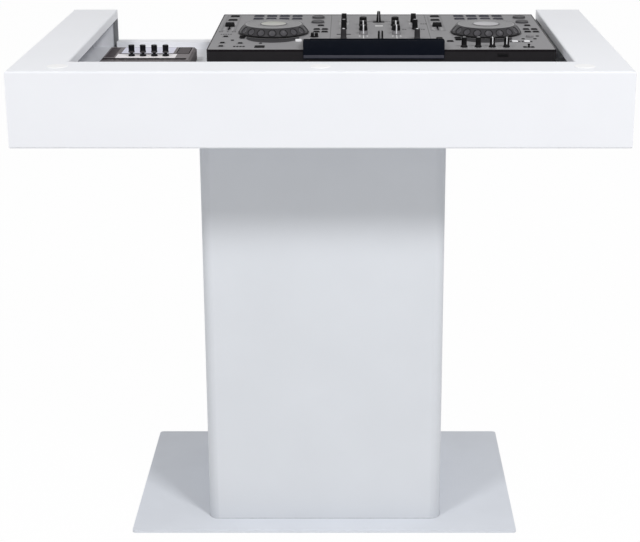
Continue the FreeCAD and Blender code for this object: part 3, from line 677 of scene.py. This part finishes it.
def add_layers(bm, place, size, corner, layers, index=0, ring=False):
    """A rounded rectangle in layers of inset and height, closed unless it is a ring."""
    rows = []
    for inset, height in layers:
        outline = round_rectangle(size[0] - 2 * inset, size[1] - 2 * inset, max(corner - inset, least_corner))
        rows.append([bm.verts.new((place[0] + x, place[1] + y, height)) for x, y in outline])
    if ring:
        rows.append(rows[0])
    else:
        for row in (rows[0], rows[-1]):
            face = bm.faces.new(row)
            face.material_index = index
    bridge(bm, rows, index)


def add_bezel(bm, place, size, corner, index=0, rim=bezel_rim, seat=panel_top):
    """A flat softened frame on a seat, round a hole."""
    low = seat - inlay_sink
    high = seat + bezel_rise
    layers = [(0, low), (-rim, low), (-rim, high - bezel_edge), (bezel_edge - rim, high),
              (-bezel_edge, high), (0, high - bezel_edge)]
    add_layers(bm, place, size, corner, layers, index, True)


def add_inlay(bm, place, size, index=0, corner=least_corner, seat=panel_top):
    """A thin plate let into a seat, a little proud of it."""
    high = seat + inlay_rise
    layers = [(0, seat - inlay_sink), (0, high - inlay_rise / 2), (inlay_rise / 2, high)]
    add_layers(bm, place, size, corner, layers, index)


def add_cap(bm, place, size, corner, low, high, index=0):
    """A softened cap with a slightly dished top."""
    soft = min(size) * cap_soft_share
    edge = soft * cap_edge_share
    layers = [(0, low), (0, high - soft), (edge, high - edge), (soft, high),
              (soft * cap_slope_share, high - cap_dish / 2), (soft * cap_floor_share, high - cap_dish)]
    add_layers(bm, place, size, corner, layers, index)


def add_button(bm, place, size, corner, rise, index=0):
    """A small fixed button on the panel."""
    add_cap(bm, place, size, corner, panel_top - inlay_sink, panel_top + rise, index)


def paint_outside(bm, radius):
    """Gives the faces outside a radius the second finish."""
    for face in bm.faces:
        if all(math.hypot(vert.co.x, vert.co.y) > radius for vert in face.verts):
            face.material_index = 1


def put_in_scene(name, data):
    """A new object in the scene."""
    made = bpy.data.objects.new(name, data)
    bpy.context.scene.collection.objects.link(made)
    return made


def piece(name, bm, finishes, body, stands_for=(), place=(0, 0, 0), crease=crease_angle):
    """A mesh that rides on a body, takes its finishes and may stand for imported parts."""
    bmesh.ops.recalc_face_normals(bm, faces=bm.faces)
    limit = math.radians(crease)
    for line in bm.edges:
        line.smooth = line.calc_face_angle(math.pi) < limit
    for face in bm.faces:
        face.smooth = True
    mesh = bpy.data.meshes.new(name)
    bm.to_mesh(mesh)
    bm.free()
    for finish_name in finishes:
        mesh.materials.append(looks[finish_name])
    made = put_in_scene(name, mesh)
    made.location = place
    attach(made, body)
    if stands_for:
        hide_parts(*stands_for)


# Jog wheels

def jog_wheel(side):
    """The skirted wheel with its finger dimples, with painted shade in the dimples' grooves and along the
    skirt's lowest band, and a painted sheen in the dimples' dishes.
    """
    node = "jog_wheel_" + side
    place, size, _, high = upright(node)
    radius = size[0] / 2
    shoulder = jog_lift + jog_rim_height
    top = high - panel_top
    ring_out = radius - jog_skirt
    ring_in = ring_out - jog_ring_width
    ledge_in = ring_in - jog_ledge
    ledge_top = top - jog_plate_depth
    pitch = 2 * math.pi / dimple_count
    span = top - shoulder
    slope = Vector((span, jog_skirt)).normalized()

    def dimple_reach(rise, angle):
        turn = angle / pitch % 1 - 0.5
        return math.hypot(turn / dimple_reach_share, (rise - dimple_height_share) / dimple_rise_share)

    def dimpled(out, up, angle):
        rise = (up - shoulder) / span
        if not 0 < rise < 1 or out < ring_out:
            return out, up
        reach = dimple_reach(rise, angle)
        sink = dimple_depth * max(0, 1 - reach ** 2)
        sink += dimple_groove * max(0, 1 - ((reach - 1) / groove_share) ** 2)
        return out - sink * slope.x, up - sink * slope.y

    outline = [(ledge_in, jog_lift)]
    for step in range(corner_steps + 1):
        angle = math.pi / 2 * step / corner_steps
        outline.append((radius - rim_curve * (1 - math.sin(angle)),
                        shoulder - jog_rim_height * math.cos(angle)))
    for row in range(1, skirt_rows + 1):
        share = row / skirt_rows
        swell = skirt_swell * math.sin(math.pi * share)
        outline.append((radius - jog_skirt * share + swell, shoulder + span * share))
    outline += [(ring_out - jog_ring_edge, top), (ring_in, top), (ring_in, ledge_top)]
    outline += [(ledge_in, ledge_top), (ledge_in, jog_lift)]
    bm = bmesh.new()
    add_turned(bm, outline, dimple_count * dimple_steps, dimpled)
    # Painted shade on the grooves and the lowest band, painted sheen in the dishes.
    for face in bm.faces:
        centre = face.calc_center_median()
        rise = (centre.z - shoulder) / span
        reach = dimple_reach(rise, math.atan2(centre.y, centre.x))
        if abs(reach - 1) < groove_share * dark_groove_share or rise < skirt_lip_share:
            face.material_index = 1
        elif reach < 1:
            face.material_index = 2
    finishes = ["skirt_plastic", "skirt_painted_shade", "dimple_sheen_and_disc_ring"]
    piece("jog_skirt_" + side, bm, finishes, "jog_" + side, [node], (*place, panel_top))


def jog_painted_shadow(side):
    """A painted shadow in front of a wheel: a dark lune up to the wheel's edge."""
    place, size, _, _ = upright("jog_wheel_" + side)
    wheel_radius = size[0] / 2 + shadow_gap
    bm = bmesh.new()
    rows = []
    for step in range(shadow_steps + 1):
        turn = math.pi * step / shadow_steps
        x = shadow_shifts[side] - shadow_radius * math.cos(turn)
        far = -math.sqrt(wheel_radius ** 2 - x ** 2)
        near = min(far - inlay_rise, -shadow_ahead - shadow_radius * math.sin(turn))
        section = ((far, inlay_rise), (near, inlay_rise), (near, -inlay_sink), (far, -inlay_sink))
        rows.append([bm.verts.new((x, y, z)) for y, z in section])
    bridge(bm, rows)
    bm.faces.new(rows[0])
    bm.faces.new(rows[-1])
    piece("jog_painted_shadow_" + side, bm, ["painted_jog_shadow"], "booth", [], (*place, panel_top))


def jog_top(side):
    """The dished plate on a jog wheel, with a raised rim."""
    node = "jog_plate_" + side
    place, size, low, high = upright(node)
    radius = size[0] / 2
    window = jog_disc_width / 2 + top_window_gap
    thickness = high - low
    outline = [(window, 0), (radius, 0), *inside(radius, thickness, top_rim),
               *inside(window, thickness, top_window_rim), (window, 0)]
    bm = bmesh.new()
    add_turned(bm, softened(outline, top_edge), fine_steps)
    paint_outside(bm, radius - top_band)
    finishes = ["jog_turned_top", "jog_turned_rim"]
    piece("jog_top_" + side, bm, finishes, "jog_" + side, [node], (*place, low))


def jog_disc(side, look):
    """The fixed round display of a jog wheel, on its post."""
    place = middle("jog_plate_" + side)
    low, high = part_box("jog_spindles")
    radius = jog_disc_width / 2
    rise = high.z - panel_top
    outline = [(disc_post, low.z - panel_top), (disc_post, rise - disc_depth),
               *inside(radius, rise, disc_rim), (0, rise - disc_dish)]
    bm = bmesh.new()
    add_turned(bm, outline, fine_steps)
    paint_outside(bm, radius - disc_band)
    seat = (*place, panel_top)
    piece("jog_disc_" + side, bm, [look, "dimple_sheen_and_disc_ring"], "booth", ["jog_spindles"], seat)


for side_name, disc_look in (("left", "jog_disc_cream"), ("right", "jog_disc_grey")):
    jog_wheel(side_name)
    jog_painted_shadow(side_name)
    jog_top(side_name)
    jog_disc(side_name, disc_look)


# Knobs

def knob(node, profile, finishes, line=0.0, line_low=0.0, painted_top_highlight=0.0, band=None, height_share=1.0):
    """A fluted knob, perhaps with a pointer line, a light dot on top that is a painted highlight, or a band.
    """
    place, size, low, high = upright(node)
    on_side_unit = node.startswith("side")
    seat = unit_top if on_side_unit else panel_top
    radius = max(size) / 2
    foot = knob_lift
    top = (high - seat) * height_share - mark_rise
    rise = top - foot
    foot_rows, grip, top_rows = [[(radius * out, foot + rise * up) for out, up in rows] for rows in profile]
    outline = [(shaft_radius, low - seat), (shaft_radius, foot)] + foot_rows + grip + top_rows

    def shaped(out, up, angle):
        if grip[0][1] <= up <= grip[-1][1]:
            out *= 1 - flute_depth_share * (0.5 - 0.5 * math.cos(flute_count * angle))
        return out, up

    bm = bmesh.new()
    add_turned(bm, outline, shape=shaped)
    for face in bm.faces if band else ():
        if foot + rise * band[0] < face.calc_center_median().z < foot + rise * band[1]:
            face.material_index = len(finishes) - 1
    if line:
        foot_out = grip[0][0] + mark_rise
        top_out = grip[-1][0] + mark_rise
        line_foot = (-line / 2, line / 2, -foot_out, -foot_out / 2)
        line_top = (-line / 2, line / 2, -top_out, 0)
        add_frustum(bm, line_foot, line_top, foot + rise * line_low, top + mark_rise, mark_rise / 2, 1)
    # A light disc on the top, as a painted highlight.
    if painted_top_highlight:
        reach = radius * painted_top_highlight
        bounds = [(reach, top - mark_rise * 2), (reach, top + mark_rise * dot_side_share),
                  (reach * dot_top_share, top + mark_rise), (0, top + mark_rise)]
        add_turned(bm, bounds, index=1)
    piece(node + "_grip", bm, finishes, node, [node], (*place, seat))


for node_name in sorted(nodes):
    if "knob" in node_name:
        style = next(row for row in knob_styles if fnmatch(node_name, row[0]))
        knob(node_name, *style[1:3], **style[3])


# Faders

def fader_cap(node):
    """A ridged fader cap with a line over it, on its stem."""
    along_x = node == "crossfader"
    top_share = cross_top_share if along_x else flat_top_share
    height_share = tempo_height_share if node.startswith("tempo") else 1
    place, (width, depth), low, high = upright(node)
    length, breadth = crosswise(along_x, width, depth)
    foot = panel_top + bezel_rise + knob_lift
    top = foot + (high - foot) * height_share
    bm = bmesh.new()
    top_half = (width / 2 * top_share, depth / 2 * top_share)
    add_frustum(bm, rim_of(width / 2, depth / 2), rim_of(*top_half), foot, top - ridge_rise, control_edge)
    stem = rim_of(*crosswise(along_x, stem_run / 2, stem_breadth / 2))
    add_frustum(bm, stem, stem, low, foot + stem_sink, stem_edge)
    ridge_half = crosswise(along_x, ridge_width / 2, breadth * top_share * ridge_run_share / 2)
    for step in ridge_places:
        ridge = rim_of(*ridge_half, *crosswise(along_x, step * length * top_share / ridge_pitches, 0))
        add_frustum(bm, ridge, ridge, top - ridge_depth, top, ridge_edge)
    line_half = breadth / 2 + cap_line_proud
    foot_line = rim_of(*crosswise(along_x, cap_line_width / 2, line_half))
    top_line = rim_of(*crosswise(along_x, cap_line_width / 2, line_half * top_share))
    add_frustum(bm, foot_line, top_line, foot + cap_line_lift, top, cap_line_edge, 1)
    piece(node + "_cap", bm, ["fader_plastic", "mark_grey"], node, [node], (*place, 0))


for node_name in sorted(nodes):
    if "fader" in node_name:
        fader_cap(node_name)


# Push buttons

def push_button(node):
    """A round button with a dished top and a raised rim."""
    place, size, low, high = upright(node)
    radius = size[0] / 2
    height = high - low
    outline = [(0, knob_lift), (radius - button_foot, knob_lift), (radius, knob_lift + button_foot)]
    outline += inside(radius, height, button_rim) + shared(radius, height, button_dish)
    bm = bmesh.new()
    add_turned(bm, outline, fine_steps)
    piece(node + "_top", bm, ["button_plastic"], node, [node], (*place, low))


for node_name in sorted(nodes):
    if "_button_" in node_name:
        push_button(node_name)


# Keys and pads

def keys():
    """The keys' caps and bezels. Light keys have a bar at either side."""
    caps = bmesh.new()
    frames = bmesh.new()
    for box in islands("keys"):
        (x, y), (width, depth) = plan(box)
        light = x > light_key_left and y < light_key_front
        small = x < small_key_right and y < small_key_front
        share = small_key_share if small else 1
        corner = key_corner * share
        size = (width * share, depth * share)
        add_cap(caps, (x, y), size, corner, box[0].z, box[1].z, int(light))
        hole = (size[0] + 2 * bezel_gap, size[1] + 2 * bezel_gap)
        rim = bezel_rim + (width - size[0]) / 2
        add_bezel(frames, (x, y), hole, corner, 1 if light else 2 if small else 0, rim)
        for sign in (-1, 1) if light else ():
            add_inlay(frames, (x + sign * (width / 2 + light_seat), y), (light_seat, depth), 1)
    piece("key_caps", caps, ["key_plastic", "light_plastic"], "booth", ["keys"])
    finishes = ["panel_dark_inlay", "panel_line", "panel_edge_inlay"]
    piece("key_bezels", frames, finishes, "booth")


def pads():
    """The pads' caps and bezels."""
    caps = bmesh.new()
    frames = bmesh.new()
    for box in islands("pads"):
        place, size = plan(box)
        add_cap(caps, place, size, pad_corner, box[0].z, box[1].z)
        add_bezel(frames, place, (size[0] + 2 * bezel_gap, size[1] + 2 * bezel_gap), pad_corner)
    piece("pad_caps", caps, ["performance_pad"], "booth", ["pads"])
    piece("pad_bezels", frames, ["panel_dark_inlay"], "booth")


keys()
pads()


# Panel

def panel_seams():
    """Seams, edges, a bar and rows of marks."""
    bm = bmesh.new()
    (x, y), (width, depth) = plan((panel_low, panel_high))
    side_offset = (width - edge_margin - side_edge_width) / 2
    for sign in (-1, 1):
        add_inlay(bm, (x + sign * seam_offset, y), (seam_width, depth - 2 * seam_margin))
        add_inlay(bm, (x + sign * side_offset, y), (side_edge_width, depth - 2 * edge_margin), 3)
    back_edge = panel_high.y - edge_margin - back_edge_depth / 2
    add_inlay(bm, (x, back_edge), (width - 2 * edge_margin, back_edge_depth), 2)
    x, y = middle("level_knob_left_2")
    add_inlay(bm, (x, y + tower_bar_ahead), tower_bar_size, 1)
    for x, y, count in label_rows:
        for step in range(count):
            across = (step - (count - 1) / 2) * label_pitch
            add_inlay(bm, (x + across, y), label_size)
    finishes = ["panel_seam", "key_plastic", "panel_dark_inlay", "panel_line"]
    piece("panel_seams", bm, finishes, "booth")


def fader_slot_rims():
    """Rims, bars and surrounds of the faders' slots."""
    bm = bmesh.new()
    for name in (*long_faders, "crossfader"):
        x, y = middle(name)
        kind = name.split("_")[0]
        travel = slot_lengths[kind]
        size = crosswise(kind == "crossfader", travel, slot_breadth)
        add_bezel(bm, (x, y), size, slot_corner, 0 if kind == "channel" else 1, slot_rim)
        if kind == "crossfader":
            for sign in (-1, 1):
                place = (x, y + sign * (slot_breadth + slot_bar[1] + 2 * slot_rim + bezel_edge) / 2)
                add_inlay(bm, place, slot_bar)
        elif kind == "tempo":
            low = y - travel / 2 - slot_rim
            high = panel_high.y - surround_margin
            size = (surround_width, high - low)
            add_bezel(bm, (x, (low + high) / 2), size, surround_corner, 2, surround_rim)
    finishes = ["key_plastic", "panel_dark_inlay", "panel_edge_inlay"]
    piece("fader_slot_rims", bm, finishes, "booth")


def panel_prints():
    """Printed lines, dots, ticks and scales beside the controls."""
    bm = bmesh.new()
    for side in ("left", "right"):
        name = "eq_knob_%s_3" % side
        x, y = middle(name)
        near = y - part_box(name)[0].y
        add_inlay(bm, (x, y - near - print_gap - print_run / 2), (print_width, print_run))
        for along in print_dots_along:
            for sign in (-1, 1):
                place = (x + sign * print_dots_across, y + along)
                add_inlay(bm, place, (print_dot, print_dot), 0, print_corner)
    x, y = middle("crossfader")
    add_inlay(bm, (x, y - light_bar_ahead), light_bar_size)
    for name in long_faders:
        x, y = middle(name)
        for along in spaced(slot_lengths[name.split("_")[0]] - tick_margin, tick_count):
            for sign in (-1, 1):
                add_inlay(bm, (x + sign * tick_offset, y + along), tick_size)
    for name in sorted(nodes):
        if not name.startswith(("eq_knob", "level_knob", "mic_knob")):
            continue
        x, y = middle(name)
        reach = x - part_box(name)[0].x + scale_gap
        for turn in spaced(scale_sweep, scale_dots):
            angle = math.radians(turn)
            place = (x + reach * math.sin(angle), y - reach * math.cos(angle))
            add_inlay(bm, place, (scale_dot, scale_dot), 0, scale_corner)
    piece("panel_prints", bm, ["panel_print"], "booth")


def panel_buttons():
    """Small fixed buttons, dots and lamps on the panel."""
    bm = bmesh.new()
    for name, places, size, corner, rise, index in fixed_buttons:
        x, y = middle(name)
        for across, along in places:
            add_button(bm, (x + across, y + along), size, corner, rise, index)
    for place in blocks:
        add_button(bm, place, block_size, key_corner, block_rise)
    piece("panel_buttons", bm, ["key_plastic", "light_plastic"], "booth")


panel_seams()
fader_slot_rims()
panel_prints()
panel_buttons()


# Toggle switch

def toggle():
    """The lever on its own body, and its plate on the panel."""
    node = "toggle_switch"
    (x, y), size, low, high = upright(node)
    radius = size[0] / 2
    height = (high - low) * toggle_height_share
    outline = [(radius * out, height * up) for out, up in toggle_profile]
    bm = bmesh.new()
    add_turned(bm, softened(outline, toggle_edge))
    piece("toggle_lever", bm, ["key_plastic"], node, [node], (x, y, low))
    bm = bmesh.new()
    for sign in (-1, 1):
        place = (x + sign * (toggle_hole + toggle_arm[0]) / 2, y)
        add_button(bm, place, toggle_arm, toggle_arm_corner, toggle_arm_rise)
    add_bezel(bm, (x, y), (toggle_hole, toggle_hole), toggle_hole_corner, 0, toggle_rim)
    piece("toggle_plate", bm, ["key_plastic"], "booth")


toggle()


# Display and case

def display_trims():
    """A trim along the display's foot, and a matt top cover."""
    low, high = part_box("display_housing")
    bm = bmesh.new()
    rim = (low.x + trim_end, high.x - trim_end, low.y - trim_proud, low.y + trim_sunk)
    add_frustum(bm, rim, rim, low.z + trim_foot, low.z + trim_top, trim_proud / 2)
    piece("display_foot_trim", bm, ["display_trim"], "booth")
    bm = bmesh.new()
    place = ((low.x + high.x) / 2, low.y + cover_margin + cover_depth / 2)
    add_inlay(bm, place, (high.x - low.x - 2 * cover_margin, cover_depth), seat=high.z)
    piece("display_top_cover", bm, ["display_matt"], "booth")


def case_plate():
    """A small framed plate on the case."""
    low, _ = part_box("console_case")
    left = console_x + plate_offset
    right = left + plate_size[0]
    top = plate_foot + plate_size[1]
    outer = (left, right, low.y - plate_proud, low.y + plate_proud)
    inner = (left + plate_rim, right - plate_rim, low.y - 2 * plate_proud, low.y)
    bm = bmesh.new()
    edge = plate_proud / 2
    add_frustum(bm, outer, outer, plate_foot, top, edge)
    add_frustum(bm, inner, inner, plate_foot + plate_rim, top - plate_rim, edge, 1)
    piece("case_plate", bm, ["unit_dark", "socket_plastic"], "booth")


display_trims()
case_plate()


# Sockets

def add_inlet(bm, size, reach):
    """The mains inlet with its pins, facing up."""
    layers = [(0, 0)] + [(inset, reach - drop) for inset, drop in inlet_rim]
    add_layers(bm, (0, 0), size, inlet_corner, layers)
    for place in inlet_pins:
        add_layers(bm, place, pin_size, pin_corner, [(inset, reach - drop) for inset, drop in pin_rows], 1)


def add_socket(bm, radius, reach):
    """A round socket with a bright ring, facing up."""
    outline = [(0, 0), (radius, 0), (radius, reach - socket_edge), (radius - socket_edge, reach)]
    add_turned(bm, outline + shared(radius, reach, socket_bore))
    add_turned(bm, shared(radius, reach, socket_ring), index=1)


def socket_faces():
    """The faces of all sockets, turned to the audience."""
    bm = bmesh.new()
    for low, high in islands("rear_sockets"):
        x, z = (low.x + high.x) / 2, (low.z + high.z) / 2
        width, height = high.x - low.x, high.z - low.z
        reach = high.y - low.y
        old = set(bm.verts)
        if width - height > round_limit:
            add_inlet(bm, (width, height), reach)
        else:
            add_socket(bm, width / 2, reach)
        for vert in set(bm.verts) - old:
            across, along, out = vert.co
            vert.co = (x + across, high.y - out, z + along)
    piece("socket_faces", bm, ["socket_plastic", "silver_plate"], "booth", ["rear_sockets"])


socket_faces()


# Side unit's face

def unit_place(across, along, width, depth):
    """The middle and the size of a field on the side unit's face."""
    return (unit_low.x + across + width / 2, unit_low.y + along + depth / 2), (width, depth)


def unit_face():
    """Dark windows, a lilac field, a pale strip, dark lines, and a dark frame round the right window as
    painted shade.
    """
    bm = bmesh.new()
    for index, field in unit_fields:
        add_inlay(bm, *unit_place(*field), index, unit_corner, unit_top)
    # The frame is painted shade along the window's edges.
    add_bezel(bm, *unit_place(*unit_shade_frame), unit_corner, 3, unit_shade_frame_rim, unit_top)
    finishes = ["unit_window", "unit_lilac", "unit_strip", "unit_dark"]
    piece("side_unit_fields", bm, finishes, "booth")


unit_face()


# Booth

def ledge_caps():
    """The domed caps on the front ledge."""
    bm = bmesh.new()
    for low, high in islands("ledge_caps"):
        place, size = plan((low, high))
        rise = high.z - low.z
        outline = [(0, low.z)] + [(size[0] / 2 - inset, low.z + rise * share) for inset, share in dome_rows]
        outline.append((0, low.z + rise * dome_tip_share))
        add_turned(bm, outline, place=place)
    stands_for = ["ledge_caps"]
    piece("ledge_cap_domes", bm, ["cap_plastic"], "booth", stands_for, crease=dome_crease_angle)


def end_shade_strips():
    """Grey strips on the inner edges of the end panels, as painted shade in the arms' rear corners."""
    bm = bmesh.new()
    for low, high in islands("end_panels"):
        inner = high.x if high.x < 0 else low.x
        outer = inner + math.copysign(shade_strip_width, inner)
        rim = (min(inner, outer), max(inner, outer), low.y - shade_strip_depth, low.y)
        add_frustum(bm, rim, rim, shelf_top, lip_foot, shade_strip_round)
    piece("end_edge_shade_strips", bm, ["end_strip_painted_shade"], "booth")


def column_foot_shade():
    """A thin grey bead round the column's foot, as painted contact shade where the column meets the base."""
    place, size = plan(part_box("column_shell"))
    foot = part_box("base_plate")[1].z
    layers = [(bead_size * inset, foot + bead_size * rise) for inset, rise in bead_rows]
    bm = bmesh.new()
    add_layers(bm, place, size, column_corner, layers, 0, True)
    piece("column_foot_shade_line", bm, ["painted_foot_shade"], "booth")


ledge_caps()
end_shade_strips()
column_foot_shade()


# Stage

def show_by_ray(tree, unseen, seen, out, share=1.0):
    """Shows rays that look a share of one shader, and bounced light the other."""
    path = add_node(tree, "LightPath")
    looking = (path, "Is Camera Ray")
    for ray in ("Is Glossy Ray", "Is Transmission Ray"):
        either = add_node(tree, "Math")
        either.operation = "MAXIMUM"
        join(tree, (*looking, either, 0), (path, ray, either, 1))
        looking = (either, 0)
    part = add_node(tree, "Math", {1: share})
    part.operation = "MULTIPLY"
    mix = add_node(tree, "MixShader")
    join(tree, (*looking, part, 0), (part, 0, mix, "Fac"), (unseen, 0, mix, 1), (seen, 0, mix, 2),
         (mix, "Shader", out, "Surface"))


def studio_floor():
    """A pale floor that looks white and keeps a faint shadow."""
    material = bpy.data.materials.new("studio_floor")
    material.use_nodes = True
    tree = material.node_tree
    tree.nodes.clear()
    out = add_node(tree, "OutputMaterial")
    matt = add_node(tree, "BsdfDiffuse", {"Color": (floor_grey, floor_grey, floor_grey, 1)})
    glow = add_node(tree, "Emission")
    show_by_ray(tree, matt, glow, out, floor_glow)
    bm = bmesh.new()
    bmesh.ops.create_grid(bm, x_segments=1, y_segments=1, size=floor_size / 2)
    mesh = bpy.data.meshes.new("studio_floor")
    bm.to_mesh(mesh)
    bm.free()
    mesh.materials.append(material)
    made = put_in_scene("studio_floor", mesh)


def studio_world():
    """White to the eye, with softer light all round."""
    world = bpy.data.worlds.new("studio_world")
    world.use_nodes = True
    tree = world.node_tree
    tree.nodes.clear()
    out = add_node(tree, "OutputWorld")
    soft = add_node(tree, "Background", {"Color": white, "Strength": ambient_strength})
    seen = add_node(tree, "Background", {"Color": white})
    show_by_ray(tree, soft, seen, out)
    bpy.context.scene.world = world


def lamp(name, azimuth, elevation, size, power):
    """A soft square lamp."""
    turn, rise = math.radians(azimuth), math.radians(elevation)
    outward = Vector((math.sin(turn) * math.cos(rise), -math.cos(turn) * math.cos(rise), math.sin(rise)))
    light = bpy.data.lights.new(name, "AREA")
    light.size = size
    light.energy = power
    made = put_in_scene(name, light)
    made.location = Vector(lamp_target) + outward * lamp_distance
    made.rotation_euler = outward.to_track_quat("Z", "Y").to_euler()


def camera():
    """The photograph's view, with its axis off the middle."""
    lens = bpy.data.cameras.new("camera")
    lens.sensor_width = sensor_mm
    lens.lens = sensor_mm * focal_pixels / picture_width
    lens.shift_x = (picture_width / 2 - axis_pixel_x) / picture_width
    lens.shift_y = (axis_pixel_y - picture_height / 2) / picture_width
    made = put_in_scene("camera", lens)
    made.location = camera_place
    made.rotation_euler = (math.pi / 2 - camera_pitch, 0, 0)
    bpy.context.scene.camera = made


studio_floor()
studio_world()
for lamp_name, lamp_values in lamps.items():
    lamp(lamp_name, *lamp_values)
camera()
bpy.context.scene.view_settings.view_transform = "Standard"
